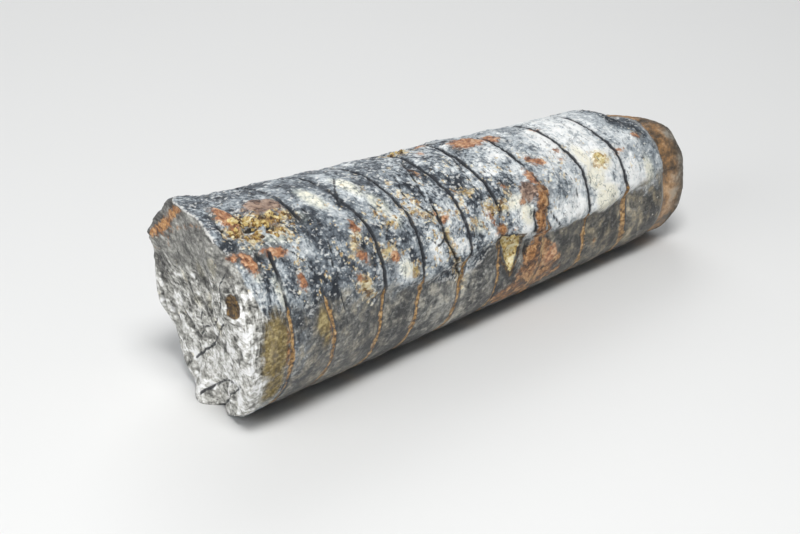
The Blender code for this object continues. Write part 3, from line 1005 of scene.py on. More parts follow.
    def _marks(self, desk: StoneDesk, colour: Wire) -> Wire:
        """Freckles and stains over the rock. A stain's edge is ragged, and darker than its middle.

        Args:
            desk: the stone's nodes.
            colour: colour so far.

        Returns:
            The colour with the marks.
        """
        clumps, shove = desk.noise(desk.place, 0.30, 5.0, 0.65)
        _, blob = desk.cells(desk.pushed(desk.place, shove, 3.0), 1.7)
        freckle = desk.field("freckle")
        speckled = desk.maths("MAXIMUM", freckle * clumps.rise(0.47, 0.60), freckle.rise(1.2, 1.8))
        near_ochre = desk.field("ochre").rise(-1.6, 0.1) * 0.5
        speckled = blob + desk.maths("MAXIMUM", speckled * 0.52, near_ochre) + (desk.fine - 0.5) * 0.5
        colour = desk.mix(speckled.rise(1.02, 1.10) * 0.75, colour, desk.ramp(desk.fine, self.specks))
        tatter = desk.noise(desk.place, 0.9, 6.0, 0.72)[0] - 0.54 + desk.grain * 0.08
        for stain, finish in STAINS.items():
            inside = desk.field(stain.value) + tatter * (2.4 * finish.ragged)
            if finish.halo:
                colour = desk.mix(inside.rise(-0.7, 0.0) * finish.halo, colour, self.halo)
            shade = desk.fine * (1.0 - finish.chunky) + desk.chunk * finish.chunky
            shade = shade + (inside.rise(0.0, 0.9) * 0.09 - 0.055)
            share = inside.rise(-0.2 * finish.feather, finish.feather) * finish.cover
            colour = desk.mix(share, colour, desk.ramp(shade, finish.stops))
        return colour

    def _far_end(self, desk: StoneDesk, colour: Wire) -> Wire:
        """The brown band and grey dome past the last suture.

        Args:
            desk: the stone's nodes.
            colour: colour so far.

        Returns:
            The colour with the far end.
        """
        cloudy, _ = desk.noise(desk.place, 0.22, 4.0, 0.6)
        past = desk.field("band") + (desk.coarse - 0.5) * 0.8
        shade = (cloudy - 0.5) * 0.9 + (desk.fine - 0.5) * 0.4 + 0.5
        domed = (past + (cloudy - 0.5) * 12.0).rise(3.0, 7.0)
        far = desk.mix(domed, desk.ramp(shade, self.band), desk.ramp(shade, self.dome))
        colour = desk.mix(past.rise(0.1, 0.5), colour, far)
        return desk.mix(abs(past + 0.2).rise(0.5, 0.1) * 0.5, colour, self.lip)

    def _seams(self, desk: StoneDesk, colour: Wire) -> Wire:
        """Dark grooves and cracks, painted shade beside the grooves, and orange filling low in the grooves.

        Args:
            desk: the stone's nodes.
            colour: colour so far.

        Returns:
            The colour with the seams.
        """
        aside, fill, painted_groove_shade = desk.field("groove"), desk.field("fill"), desk.field("painted_groove_shade")
        # painted shade: soft darkening on both sides of each groove, as strong as the groove is deep and
        # unfilled
        colour = desk.mix(aside.rise(1.2, 0.2) * (painted_groove_shade * 0.34), colour, self.seam_black)
        width, _ = desk.noise(desk.place, 0.33, 4.0, 0.6)
        frayed = (width - 0.5) * 1.8 + (desk.fine - 0.5) * 1.4
        inside = frayed + fill * 0.5 + aside * -1.0
        stained = inside.rise(-0.06, 0.16) * fill.rise(0.1, 0.5)
        colour = desk.mix(stained, colour, desk.ramp(desk.fine, self.seam_orange))
        cracked = abs(aside + fill * -0.48) + (width - 0.5) * 1.2
        core = cracked.rise(0.20, 0.04) * (fill.rise(0.1, 0.6) * 0.8)
        colour = desk.mix(core, colour, self.wisp_black)
        # dark middle line of each groove: partly its own dark colour, partly painted shade, fading where the
        # groove is shallow
        dark = (aside + (desk.fine - 0.5) * 0.30).rise(0.50, 0.28) * painted_groove_shade.rise(0.10, 0.60)
        colour = desk.mix(dark * 0.95, colour, self.seam_black)
        crack = desk.field("crack") + (desk.fine - 0.5) * 0.25
        return desk.mix(crack.rise(0.16, 0.0) * 0.92, colour, self.seam_black)

    def _hollows(self, desk: StoneDesk, colour: Wire) -> Wire:
        """Painted shade: darker colour in the hollows of the relief, apart from the pale pocket.

        Args:
            desk: the stone's nodes.
            colour: colour so far.

        Returns:
            The colour with the painted shade in its hollows.
        """
        sunk = desk.field("hollow").rise(0.03, 0.28) * 0.55 * desk.field("honey").rise(0.3, -0.3)
        return desk.tinted(sunk, colour, self.hollow)

    def _surface(self, desk: StoneDesk) -> None:
        """Roughness and fine bump.

        Args:
            desk: the stone's nodes.
        """
        low = desk.field("lowness").rise(-0.2, 0.5)
        rough = desk.fine * 0.3 + (self.rough - 0.15) + desk.grain.rise(0.80, 0.86) * -0.34
        smooth = desk.fine * 0.3 + (self.polished - 0.15)
        desk.feed(desk.shader.inputs["Roughness"], desk.blend(low, rough, smooth))
        tiny, _ = desk.noise(desk.place, 4.5, 4.0, 0.65)
        height = desk.fine * 0.8 + (tiny * 0.5 + desk.grain * 0.35)
        desk.bump(height * desk.blend(low, 1.0, 0.3), self.bump_height, 1.0)

@dataclass(frozen=True)
class CrystalFinish:
    """Honey coloured calcite crystals."""

    tints: Stops = (
        (0.18, (0.040, 0.022, 0.010)),
        (0.36, (0.17, 0.090, 0.028)),
        (0.50, (0.40, 0.26, 0.075)),
        (0.64, (0.56, 0.44, 0.18)),
        (0.86, (0.70, 0.64, 0.44)),
    )
    rough: float = 0.66
    bump_height: float = 0.00003

    def build(self) -> bpy.types.Material:
        """Make the crystals' material.

        Returns:
            The material.
        """
        desk = NodeDesk("pocket crystal")
        mottled, _ = desk.noise(desk.place, 1800.0, 4.0, 0.6)
        value = mottled * 1.2 + (desk.field("tint") * 0.62 - 0.41)
        desk.feed(desk.shader.inputs["Base Color"], desk.ramp(value, self.tints))
        desk.feed(desk.shader.inputs["Roughness"], mottled * 0.3 + (self.rough - 0.15))
        desk.bump(mottled, self.bump_height, 0.6)
        return desk.material


@dataclass(frozen=True)
class FloorFinish:
    """Plain pale studio floor."""

    colour: Colour = (0.72, 0.72, 0.71)
    shade: Colour = (0.6984, 0.6984, 0.6887)
    rough: float = 0.6

    def build(self) -> bpy.types.Material:
        """Make the floor's material.

        Returns:
            The material.
        """
        desk = NodeDesk("studio_floor")
        cloudy, _ = desk.noise(desk.place, 3.0, 3.0)
        desk.feed(desk.shader.inputs["Base Color"], desk.mix(cloudy, self.colour, self.shade))
        desk.shader.inputs["Roughness"].default_value = self.rough
        return desk.material


# ---------------------------------------------------------------------------------------------
# The stone
# ---------------------------------------------------------------------------------------------


@dataclass(frozen=True)
class SutureLook:
    """How one suture shows round the cone: (angle, share) pairs of its depth and of its orange fill."""

    depth: Points
    fill: Points


SUTURE_LOOKS: tuple[SutureLook, ...] = (
    SutureLook(((-60, 0.3), (5, 0.4), (14, 0.8), (42, 0.7), (50, 0.0), (95, 0.0), (130, 0.5), (250, 0.3)),
               ((-60, 0.9), (12, 0.95), (22, 0.3), (30, 0.0), (180, 0.0), (262, 0.0))),
    SutureLook(((-60, 0.3), (14, 0.3), (30, 0.15), (52, 0.3), (64, 0.8), (94, 0.7), (180, 0.6), (250, 0.3)),
               ((-60, 1.0), (12, 1.05), (20, 0.2), (30, 0.0), (200, 0.2), (250, 0.7))),
    SutureLook(((-60, 0.4), (0, 0.6), (8, 1.0), (62, 1.0), (74, 0.5), (96, 0.7), (180, 0.8), (250, 0.3)),
               ((-60, 1.15), (2, 1.1), (12, 0.2), (20, 0.0), (200, 0.1), (250, 0.6))),
    SutureLook(((-60, 0.4), (-4, 0.5), (8, 0.9), (40, 1.0), (96, 0.9), (180, 0.8), (250, 0.3)),
               ((-60, 1.15), (0, 1.2), (8, 0.3), (16, 0.0), (200, 0.2), (250, 0.6))),
    SutureLook(((-60, 0.3), (0, 0.6), (10, 0.8), (44, 0.7), (82, 0.8), (180, 0.8), (250, 0.3)),
               ((-60, 1.2), (2, 1.1), (12, 0.3), (24, 0.0), (200, 0.2), (250, 0.6))),
    SutureLook(((-60, 0.5), (7, 0.5), (12, 0.1), (20, 0.1), (27, 0.9), (86, 1.0), (180, 0.8), (250, 0.3)),
               ((-60, 0.8), (0, 0.8), (10, 0.3), (24, 0.0), (200, 0.2), (250, 0.6))),
    SutureLook(((-60, 0.2), (22, 0.2), (48, 0.4), (62, 1.0), (84, 1.0), (180, 0.8), (250, 0.3)),
               ((-60, 0.6), (0, 0.7), (24, 0.4), (44, 0.0), (200, 0.2), (250, 0.6))),
    SutureLook(((-60, 0.3), (2, 0.4), (10, 1.0), (104, 1.0), (180, 0.9), (250, 0.3)),
               ((-60, 1.0), (0, 1.0), (8, 0.2), (14, 0.0), (200, 0.2), (250, 0.6))),
    SutureLook(((-60, 0.3), (10, 0.4), (20, 0.9), (34, 1.0), (86, 1.0), (180, 0.9), (250, 0.3)),
               ((-60, 1.5), (10, 1.7), (17, 0.6), (24, 0.0), (200, 0.2), (250, 0.6))),
    SutureLook(((-60, 0.2), (100, 0.2), (180, 0.4), (250, 0.3)), ((-60, 0.0), (250, 0.0))),
)


@dataclass(frozen=True)
class EndMark:
    """A line on the broken end, in millimetres towards the back and up from the cone's middle."""

    path: Points
    half_width: float
    depth: float = 0.0


END_RUST: tuple[EndMark, ...] = (
    EndMark(((16.6, 8.8), (12.0, 10.6), (8.8, 13.0), (4.4, 16.8), (-1.0, 20.2)), 1.0),
    EndMark(((10.6, 10.2), (5.4, 13.4), (0.0, 15.6), (-6.6, 18.2)), 0.22),
    EndMark(((15.8, 5.6), (10.2, 7.6), (8.8, 10.6)), 0.16),
)
END_CRACKS: tuple[EndMark, ...] = (
    EndMark(((7.4, -11.8), (0.1, -6.5), (-5.3, -1.4), (-9.4, 2.0)), 0.14, 0.5),
    EndMark(((-6.3, 1.4), (-2.1, -2.0), (1.6, -3.6)), 0.12, 0.4),
    EndMark(((3.3, -16.1), (-4.9, -10.5), (-9.0, -9.2)), 0.13, 0.4),
    EndMark(((-2.6, -16.4), (-8.4, -11.2), (-12.6, -8.1)), 0.14, 0.5),
    EndMark(((-9.6, 5.0), (-10.8, 9.4), (-12.6, 12.0)), 0.12, 0.35),
    EndMark(((4.0, 3.6), (1.4, -0.6), (3.4, -6.0)), 0.1, 0.25),
    EndMark(((-4.0, 9.6), (-6.2, 5.0), (-5.0, 1.0)), 0.1, 0.25),
    EndMark(((9.8, -2.6), (6.0, -5.4), (5.0, -9.0)), 0.1, 0.3),
)
END_PIT = (1.2, 25.0, 2.3, 2.3)      # in from the rim, angle, half width and half height
END_SPOTS: tuple[tuple[float, float, float], ...] = (
    (-1.1, 8.2, 1.3), (-8.5, 11.7, 1.4), (-5.6, -0.3, 1.3), (-3.0, 3.2, 1.2), (2.0, 1.0, 1.0),
    (6.0, 4.0, 0.9),
)


# Fields of the mesh that follow the station alone, or start from it.
STATION_CURVES: dict[str, Points] = {
    "tone": ((-9, -0.03), (-4, -0.04), (4, -0.04), (14, -0.045), (24, -0.035), (38, -0.01), (47, 0.005),
             (56, 0.015), (62, 0.04), (72, 0.048), (84, 0.145), (95, 0.065), (101, 0.04)),
    "contrast": ((-9, 0.85), (4, 0.70), (14, 0.58), (28, 0.68), (42, 0.95), (55, 1.0), (66, 0.70), (78, 0.62),
                 (88, 0.62), (103, 0.50)),
    "calm": ((18, 1.0), (28, 0.3), (60, 0.0), (72, 0.8), (84, 1.0)),
    "earth": ((0, 0.1), (40, 0.0), (64, 0.0), (76, 0.5)),
    "dim": ((0, -0.01), (14, 0.02), (27, -0.06), (38, 0.06), (60, -0.05), (90, -0.03)),
    # where the pale ledge-edge line shows, partly chipped stone and partly a painted highlight
    "ledge_chips_and_highlight": ((28, 0.0), (42, 1.0), (72, 0.5), (98, 0.2)),
    "freckle": ((-9, 0.2), (4, 0.9), (16, 0.6), (30, 1.0), (50, 1.0), (60, 0.5), (80, 0.35), (104, 0.2)),
}


@dataclass
class FossilStone:
    """The stone, sculpted as one mesh round the frame's solid. Lengths are in millimetres."""

    form: ConeForm = field(default_factory=ConeForm)
    columns: int = 288
    face_rings: int = 40
    coarse_cuts: int = 2
    fine_cuts: int = 89
    dome_rings: int = 24
    first_row: float = -11.0
    joined_row: float = 8.5
    crowding: float = 12.0
    crowded_angle: float = 25.0
    hidden_marks: int = 46
    seed: int = 11

    noise: RockNoise = field(init=False)
    stone: bpy.types.Object = field(init=False)
    # each vertex's ring and column on the grid
    ring: np.ndarray = field(init=False)
    column: np.ndarray = field(init=False)
    # one entry for each point of the grid
    row: np.ndarray = field(init=False)            # station before the lines stray
    station: np.ndarray = field(init=False)
    angle: np.ndarray = field(init=False)
    around: np.ndarray = field(init=False)         # angle within half a turn of the front
    edge: np.ndarray = field(init=False)           # station of the broken end's edge at that angle
    share: np.ndarray = field(init=False)          # share of the radius
    lift: np.ndarray = field(init=False)           # share of the dome's height
    side: np.ndarray = field(init=False)           # place across the cone, towards the back
    up: np.ndarray = field(init=False)             # and upwards from its middle
    is_face: np.ndarray = field(init=False)        # on the broken end
    is_dome: np.ndarray = field(init=False)
    points: np.ndarray = field(init=False)
    fields: dict[str, np.ndarray] = field(default_factory=dict)

    def build(self) -> bpy.types.Object:
        """Model, sculpt and dress the stone.

        Returns:
            The stone's object.
        """
        self.noise = RockNoise(self.seed)
        self.stone = self._blank()
        self._sort_grid()
        self._lay_out()
        self._smooth_shape()
        self._carve()
        self._store()
        deselect_all()
        self.stone.select_set(True)
        bpy.context.view_layer.objects.active = self.stone
        bpy.ops.object.shade_smooth()
        self.stone.data.materials.clear()
        self.stone.data.materials.append(StoneFinish().build())
        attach(self.stone, BODY)
        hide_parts(STONE_NODE)
        return self.stone

    @property
    def rows(self) -> int:
        """Rings along the body, both ends counted."""
        return (self.coarse_cuts + 1) * (self.fine_cuts + 1) + 1

    @property
    def rings(self) -> int:
        """Rings of the whole grid, without the points that close its ends."""
        return self.face_rings - 1 + self.rows + self.dome_rings - 1

    def _blank(self) -> bpy.types.Object:
        """Cylinder with evenly spaced rings along its side and across both ends.

        Returns:
            The blank's object, lying along X.
        """
        low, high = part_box(STONE_NODE)
        self.blank_radius = (high[2] - low[2]) / 2.0
        self.blank_length = high[0] - low[0]
        deselect_all()
        bpy.ops.mesh.primitive_cylinder_add(
            vertices=self.columns, radius=self.blank_radius, depth=self.blank_length,
            end_fill_type="NGON", location=(0.0, 0.0, 0.0), rotation=(0.0, -math.pi / 2.0, 0.0))
        blank = bpy.context.object
        blank.name = "stone"
        settle(blank)
        for side, rings in ((-1.0, self.face_rings), (1.0, self.dome_rings)):
            self._ring_end(blank, side, rings)
        for cuts in (self.coarse_cuts, self.fine_cuts):
            self._ring_side(blank, cuts)
        return blank

    def _ring_end(self, blank: bpy.types.Object, side: float, rings: int) -> None:
        """Inset one end into rings and close its middle in a point.

        Args:
            blank: the cylinder.
            side: -1 for the broken end, 1 for the domed end.
            rings: rings across the end.
        """
        mesh = blank.data
        for polygon in mesh.polygons:
            polygon.select = polygon.normal.x * side > 0.9
        for vertex in mesh.vertices:
            vertex.select = False
        for edge in mesh.edges:
            edge.select = False
        bpy.ops.object.mode_set(mode="EDIT")
        bpy.ops.mesh.select_mode(type="FACE")
        step = self.blank_radius * math.cos(math.pi / self.columns) / rings
        for _ in range(rings - 1):
            bpy.ops.mesh.inset(thickness=step, depth=0.0)
        bpy.ops.mesh.poke()
        bpy.ops.mesh.select_all(action="DESELECT")
        bpy.ops.object.mode_set(mode="OBJECT")

    def _ring_side(self, blank: bpy.types.Object, cuts: int) -> None:
        """Cut every long edge of the side.

        Args:
            blank: the cylinder.
            cuts: cuts in each edge.
        """
        mesh = blank.data
        points = np.array([vertex.co for vertex in mesh.vertices])
        ends = np.array([edge.vertices for edge in mesh.edges])
        spans = np.abs(points[ends[:, 0], 0] - points[ends[:, 1], 0])
        bpy.ops.object.mode_set(mode="EDIT")
        bpy.ops.mesh.select_mode(type="EDGE")
        bpy.ops.mesh.select_all(action="DESELECT")
        bpy.ops.object.mode_set(mode="OBJECT")
        mesh.edges.foreach_set("select", spans > 1e-6)
        bpy.ops.object.mode_set(mode="EDIT")
        bpy.ops.mesh.subdivide(number_cuts=cuts)
        bpy.ops.mesh.select_all(action="DESELECT")
        bpy.ops.object.mode_set(mode="OBJECT")

    def _sort_grid(self) -> None:
        """Find which ring and column each vertex of the blank belongs to."""
        count = len(self.stone.data.vertices)
        points = np.empty(count * 3)
        self.stone.data.vertices.foreach_get("co", points)
        points = points.reshape(-1, 3)
        along = (points[:, 0] / self.blank_length + 0.5) * (self.rows - 1)
        share = np.hypot(points[:, 1], points[:, 2]) / self.blank_radius
        ring = self.face_rings - 1 + np.rint(along)
        inner = share < 1.0 - 0.4 / self.face_rings
        near, far = inner & (along < 0.5), inner & (along > 0.5)
        ring[near] = np.rint(share[near] * self.face_rings) - 1.0
        ring[far] = self.face_rings + self.rows - 2 + np.rint((1.0 - share[far]) * self.dome_rings)
        angle = np.degrees(np.arctan2(points[:, 2], -points[:, 1]))
        start = angle[np.argmin(np.where(share > 0.5, np.abs(angle), 999.0))]
        column = np.rint((angle - start) / 360.0 * self.columns).astype(int) % self.columns
        self.first_angle = start
        self.ring, self.column = ring.astype(int), column

    def _lay_out(self) -> None:
        """Give every ring and column its station, angle and share of the radius."""
        form = self.form
        plain = self.first_angle + 360.0 * np.arange(self.columns) / self.columns
        spread = plain - self.crowding * np.sin(np.radians(plain - self.crowded_angle))
        foot = form.sutures[-1].station + form.band_length
        fine = np.linspace(self.first_row, foot, 8000)
        density = 1.55 + 2.0 * (1.0 - rise(-4.0, 10.0, fine))
        for suture in form.sutures[1:]:
            density += 6.5 * hump((fine - suture.station) / 0.95)
        grown = np.concatenate(([0.0], np.cumsum(density)[:-1]))
        body = np.interp(np.linspace(0.0, grown[-1], self.rows), grown, fine)
        shape = (self.rings, self.columns)
        self.angle = np.broadcast_to(spread, shape).ravel().copy()
        edge = form.edge(self.angle)
        row = np.empty(shape)
        share = np.ones(shape)
        lift = np.zeros(shape)
        inner = self.face_rings - 1
        row[:inner] = self.first_row
        share[:inner] = ((np.arange(inner) + 1.0) / self.face_rings)[:, None]
        row[inner:inner + self.rows] = body[:, None]
        turn = (np.arange(self.dome_rings - 1) + 0.7) / (self.dome_rings - 0.6)
        up = np.sin(np.pi / 2.0 * turn)
        row[inner + self.rows:] = foot
        share[inner + self.rows:] = ((1.0 - up ** form.dome_power) ** (1.0 / form.dome_power))[:, None]
        lift[inner + self.rows:] = up[:, None]
        row, self.share, self.lift = row.ravel(), share.ravel(), lift.ravel()
        stretch = (self.joined_row - edge) / (self.joined_row - self.first_row)
        self.row = np.where(row < self.joined_row, edge + (row - self.first_row) * stretch, row)
        self.edge = edge
        fade = rise(0.0, 3.0, self.row - edge) * (1.0 - rise(97.0, 102.0, self.row))
        self.station = self.row + form.wander(self.row, self.angle) * fade
        index = np.repeat(np.arange(self.rings), self.columns)
        self.is_face = index < inner
        self.is_dome = index >= inner + self.rows

    def _smooth_shape(self) -> None:
        """Smooth surface that the relief is carved into."""
        form = self.form
        around = turned(self.angle, 0.0)
        soft = hump(turned(self.angle, 5.0) / 62.0)
        sharp = hump(turned(self.angle, 82.0) / 44.0)
        drop = 0.45 + 1.15 * soft - 0.42 * sharp
        reach = 0.5 + 2.6 * soft
        past = np.maximum(self.row - self.edge, 0.0)
        drop = drop * np.exp(-((past / reach) ** 1.5))
        drop += form.band_step * rise(103.0, 104.1, self.row)
        chamber = self._chamber_swell()
        points = form.place(self.station, self.angle, self.share, drop - chamber)
        middle = form.near_radius - form.rest_depth
        side, up = points[:, 1] - form.axis_y, points[:, 2] - middle
        plane = form.break_middle + form.break_lean_side * side + form.break_lean_up * up
        plane += form.break_hollow * (1.0 - self.share ** 2)
        flat = np.column_stack((np.full(len(side), 3.0), side, up))
        plane += 0.55 * self.noise.smooth(flat, 6.5)
        blend = self.share ** (4.0 - 1.6 * soft)
        station = plane + (self.edge - plane) * blend
        points[:, 0] = np.where(self.is_face, station + form.first_suture_x, points[:, 0])
        points[:, 0] += np.where(self.is_dome, form.dome_height * self.lift, 0.0)
        self.side, self.up, self.around = side, up, around
        self.points = points

    def _chamber_swell(self) -> np.ndarray:
        """How far a chamber bulges between two sutures."""
        stops = np.array([suture.station for suture in self.form.sutures])
        nearest = np.abs(self.row[:, None] - stops[None, :]).min(axis=1)
        return self.form.chamber_swell * np.minimum(nearest / 5.0, 1.0) * self.share

    def normals(self, points: np.ndarray) -> np.ndarray:
        """Outward direction at every point of the grid."""
        grid = points.reshape(self.rings, self.columns, 3)
        along = np.gradient(grid, axis=0)
        round_it = np.roll(grid, -1, axis=1) - np.roll(grid, 1, axis=1)
        normal = np.cross(along, round_it)
        normal /= np.maximum(np.linalg.norm(normal, axis=2, keepdims=True), 1e-12)
        return normal.reshape(-1, 3)

    def _blurred(self, values: np.ndarray, reach: int) -> np.ndarray:
        """Mean of each value and its neighbours on the grid."""
        grid = values.reshape(self.rings, self.columns)
        total = sum(np.roll(grid, step, axis=1) for step in range(-reach, reach + 1))
        padded = np.pad(total, ((reach, reach), (0, 0)), mode="edge")
        total = sum(padded[step:step + self.rings] for step in range(2 * reach + 1))
        return (total / (2 * reach + 1) ** 2).ravel()

    def _carve(self) -> None:
        """Carve the relief into the smooth surface, and note what the finish needs."""
        places = self.points
        height = self._rock_relief(places)
        height += self._suture_relief(places)
        height += self._mark_relief(places)
        height += self._seam_relief(places)
        height += self._end_relief(places)
        worn = rise(0.05, 0.9, places[:, 2])
        height *= worn
        # painted shade: how far each point lies below its neighbours, which darkens the hollows in the finish
        self.fields["hollow"] = np.clip(self._blurred(height, 3) - height, -1.0, 1.0)
        points = places + self.normals(places) * height[:, None]
        points[:, 2] = np.maximum(points[:, 2], 0.0)
        self.points = points

    def _rock_relief(self, places: np.ndarray) -> np.ndarray:
        """Broken rock above the ledge, polished rock below it."""
        form, noise = self.form, self.noise
        above = form.above_ledge(self.station, self.angle)
        low = np.minimum(-above, above + 108.0) * 0.28
        low = np.minimum(low, (self.station + 1.5) * 0.45)
        low = np.where(self.is_face | self.is_dome, -3.0, low)
        ragged = low + 0.8 * noise.layered(places, 3.2, 3)
        smooth = rise(-0.35, 0.5, ragged)
        crisp = 0.3 + 0.7 * rise(15.0, 55.0, self.station) - 0.72 * rise(90.0, 99.0, self.station)
        shifted = ragged - 3.0 * hump((self.station - 44.0) / 12.0)
        self.fields["lowness"] = np.clip(shifted * crisp, -3.0, 3.0)
        streaked = places * np.array((1.5, 0.7, 0.7))
        broken = 0.26 * noise.layered(places, 3.4, 5, 0.55)
        broken += 0.12 * (1.0 - 2.0 * np.abs(noise.smooth(streaked, 2.1)))
        warped = places + 0.6 * noise.smooth(places, 2.0)[:, None]
        _, gap, owner = noise.cells(warped, 1.7)
        broken += 0.20 * (owner - 0.5) * rise(0.0, 0.3, gap) - 0.07 * (1.0 - rise(0.0, 0.25, gap))
        polished = 0.05 * noise.layered(places, 5.0, 3)
        fibrous = (1.0 - rise(-4.5, 0.5, self.station)) * hump(turned(self.angle, 0.0) / 75.0)
        fibrous = np.where(self.is_face, 0.0, fibrous)
        fibres = np.column_stack((self.station * 1.9, self.around * DEGREE * 0.22, np.zeros(len(places))))
        strands = 0.32 * noise.layered(fibres, 1.5, 3)
        step = -0.16 * smooth * (1.0 - rise(3.0, 9.0, low)) * rise(20.0, 45.0, self.station)
        rough = 1.0 - smooth
        relief = broken * rough * (1.0 - 0.6 * fibrous) + polished * smooth + step + strands * fibrous
        self._note_rock(places, fibrous, rough)
        return relief * np.where(self.is_face, 0.0, np.where(self.is_dome, 0.6, 1.0))

    def _note_rock(self, places: np.ndarray, fibrous: np.ndarray, rough: np.ndarray) -> None:
        """Note the fields that colour the bare rock.

        Args:
            places: points of the smooth surface.
            fibrous: how fibrous the stone is beside the broken end.
            rough: how far the rock is broken, and not polished.
        """
        for name, curve in STATION_CURVES.items():
            self.fields[name] = eased(curve, self.station)
        self.fields["fibrous"] = hump(turned(self.angle, -2.0) / 75.0) * np.where(
            self.is_face, hump((1.0 - self.share) / 0.25), 1.0 - rise(-4.5, 2.0, self.station))
        scar = np.hypot((self.station - 103.0) / 8.5, turned(self.angle, 86.0) / 54.0)
        scar = 1.0 - rise(0.55, 1.0, scar + 0.25 * self.noise.smooth(places, 4.0))
        self.fields["tone"] += 0.05 * fibrous - 0.115 * scar
        # painted shade: the rock is made darker towards the underside, below the front
        self.fields["dim"] -= 0.03 * rise(-6.0, -44.0, self.around)
        self.fields["freckle"] *= (0.15 + 0.85 * hump(turned(self.angle, 42.0) / 46.0)) * rough
        nodule = np.hypot((self.station - 85.4) / 2.5, turned(self.angle, 39.0) * 0.245 / 2.2)
        self.fields["freckle"] += 1.9 * (1.0 - rise(0.6, 1.0, nodule + 0.3 * self.noise.smooth(places, 1.6)))
        band = np.where(self.is_face, -4.0, np.clip(self.row - 103.6, -4.0, 5.0))
        band = np.where(self.is_dome, 4.2 + 7.0 * self.lift, band)
        band -= 4.6 * hump(turned(self.angle, 94.0) / 52.0) * (1.0 - self.lift)
        self.fields["band"] = band + 4.0 * hump(turned(self.angle, 88.0) / 62.0) * self.lift

    def _suture_relief(self, places: np.ndarray) -> np.ndarray:
        """Grooves where the chamber walls met the shell."""
        relief = np.zeros(len(places))
        gap = np.full(len(places), 9.0)
        sway = 0.16 * self.noise.layered(places + 21.0, 3.0, 3)
        # strength of the painted shade beside each groove: its depth where it isn't filled
        painted_groove_shade = np.zeros(len(places))
        fill = np.zeros(len(places))
        around = (self.angle + 60.0) % 360.0 - 60.0
        frayed = rise(-0.55, 0.15, self.noise.layered(places + 40.0, 5.0, 3))
        for suture, look in zip(self.form.sutures, SUTURE_LOOKS):
            aside = self.row + sway - suture.station
            depth = eased((*look.depth, (300, look.depth[0][1])), around) * (0.35 + 0.65 * frayed)
            filled = eased((*look.fill, (300, look.fill[0][1])), around)
            groove = 0.52 * np.exp(-((aside / 0.30) ** 2)) + 0.18 * np.exp(-((aside / 0.8) ** 2))
            lip = 0.09 * np.exp(-(((aside - 0.75) / 0.4) ** 2))
            relief -= (groove - lip) * depth * (1.0 - 0.65 * filled)
            nearer = np.abs(aside) < gap
            gap = np.where(nearer, np.abs(aside), gap)
            painted_groove_shade = np.where(nearer, depth * (1.0 - 0.9 * filled), painted_groove_shade)
            fill = np.where(nearer, filled, fill)
        outside = self.is_face | self.is_dome
        self.fields["groove"] = np.where(outside, 3.0, np.minimum(gap, 3.0))
        self.fields["painted_groove_shade"] = np.where(outside, 0.0, np.clip(painted_groove_shade * 1.25, 0.0, 1.0))
        self.fields["fill"] = np.where(outside, 0.0, fill)
        return np.where(outside, 0.0, relief * rise(0.2, 1.5, self.row - self.edge))

    def _mark_relief(self, places: np.ndarray) -> np.ndarray:
        """Crusts and pits, and the fields that colour them."""
        relief = np.zeros(len(places))
        stray = 0.35 * self.noise.layered(places, 1.6, 3)
        for stain in Stain:
            self.fields[stain.value] = np.full(len(places), -2.0)
        for mark in (*MARKS, *self._hidden_marks()):
            along = self.station - mark.station
            across = turned(self.angle, mark.angle) * self.form.degree(mark.station)
            cosine, sine = math.cos(math.radians(mark.turn)), math.sin(math.radians(mark.turn))
            length = (along * cosine + across * sine) / mark.half_length
            width = (across * cosine - along * sine) / mark.half_width
            inside = (1.0 - np.hypot(length, width)) * min(mark.half_length, mark.half_width)
            relief += self._stain(mark.stain, inside, mark.proud, stray)
        for streak in STREAKS:
            gap = self._gap_to(streak.path, stray)
            relief += self._stain(streak.stain, streak.half_width - gap, streak.proud, stray)
        crusty = rise(-0.3, 0.5, self.fields[Stain.OCHRE.value])
        _, gap, owner = self.noise.cells(places + 0.5 * stray[:, None], 1.25)
        relief += crusty * (0.6 * (owner - 0.4) * rise(0.0, 0.3, gap) - 0.25 * (1.0 - rise(0.0, 0.3, gap)))
        return relief + self._pocket_relief(stray)

    def _stain(self, stain: Stain, inside: np.ndarray, proud: float, stray: np.ndarray) -> np.ndarray:
        """Add a mark to its stain's field.

        Args:
            stain: what the mark is.
            inside: distance inside its edge.
            proud: how far it stands out.
            stray: how far its edge wanders.

        Returns:
            Its relief.
        """
        inside = np.where(self.is_face | self.is_dome, -2.0, np.clip(inside, -2.0, 2.0))
        self.fields[stain.value] = np.maximum(self.fields[stain.value], inside)
        return proud * rise(-0.2, 0.45, inside + stray)

    def _gap_to(self, path: Points, stray: np.ndarray) -> np.ndarray:
        """Distance from a line of (station, angle) points, in millimetres."""
        line = np.array(path, float)
        degree = self.form.degree(line[:, 0].mean())
        spot = np.column_stack((self.station + stray, turned(self.angle, line[0, 1]) * degree))
        return gap_to_path(spot, np.column_stack((line[:, 0], turned(line[:, 1], line[0, 1]) * degree)))

    def _pocket_relief(self, stray: np.ndarray) -> np.ndarray:
        """Three-cornered pocket that the crystals sit in."""
        degree = self.form.degree(POCKET[2][0])
        along = self.station + 0.5 * stray
        inside = np.full(len(along), 2.0)
        for (first, low), (second, high) in zip(POCKET, (*POCKET[1:], POCKET[0])):
            run, climb = second - first, (high - low) * degree
            away = ((along - first) * climb - turned(self.angle, low) * degree * run) / math.hypot(run, climb)
            inside = np.minimum(inside, away)
        self._stain(Stain.HONEY, inside, 0.0, stray)
        return -POCKET_DEPTH * rise(0.0, 0.6, inside + 0.5 * stray)

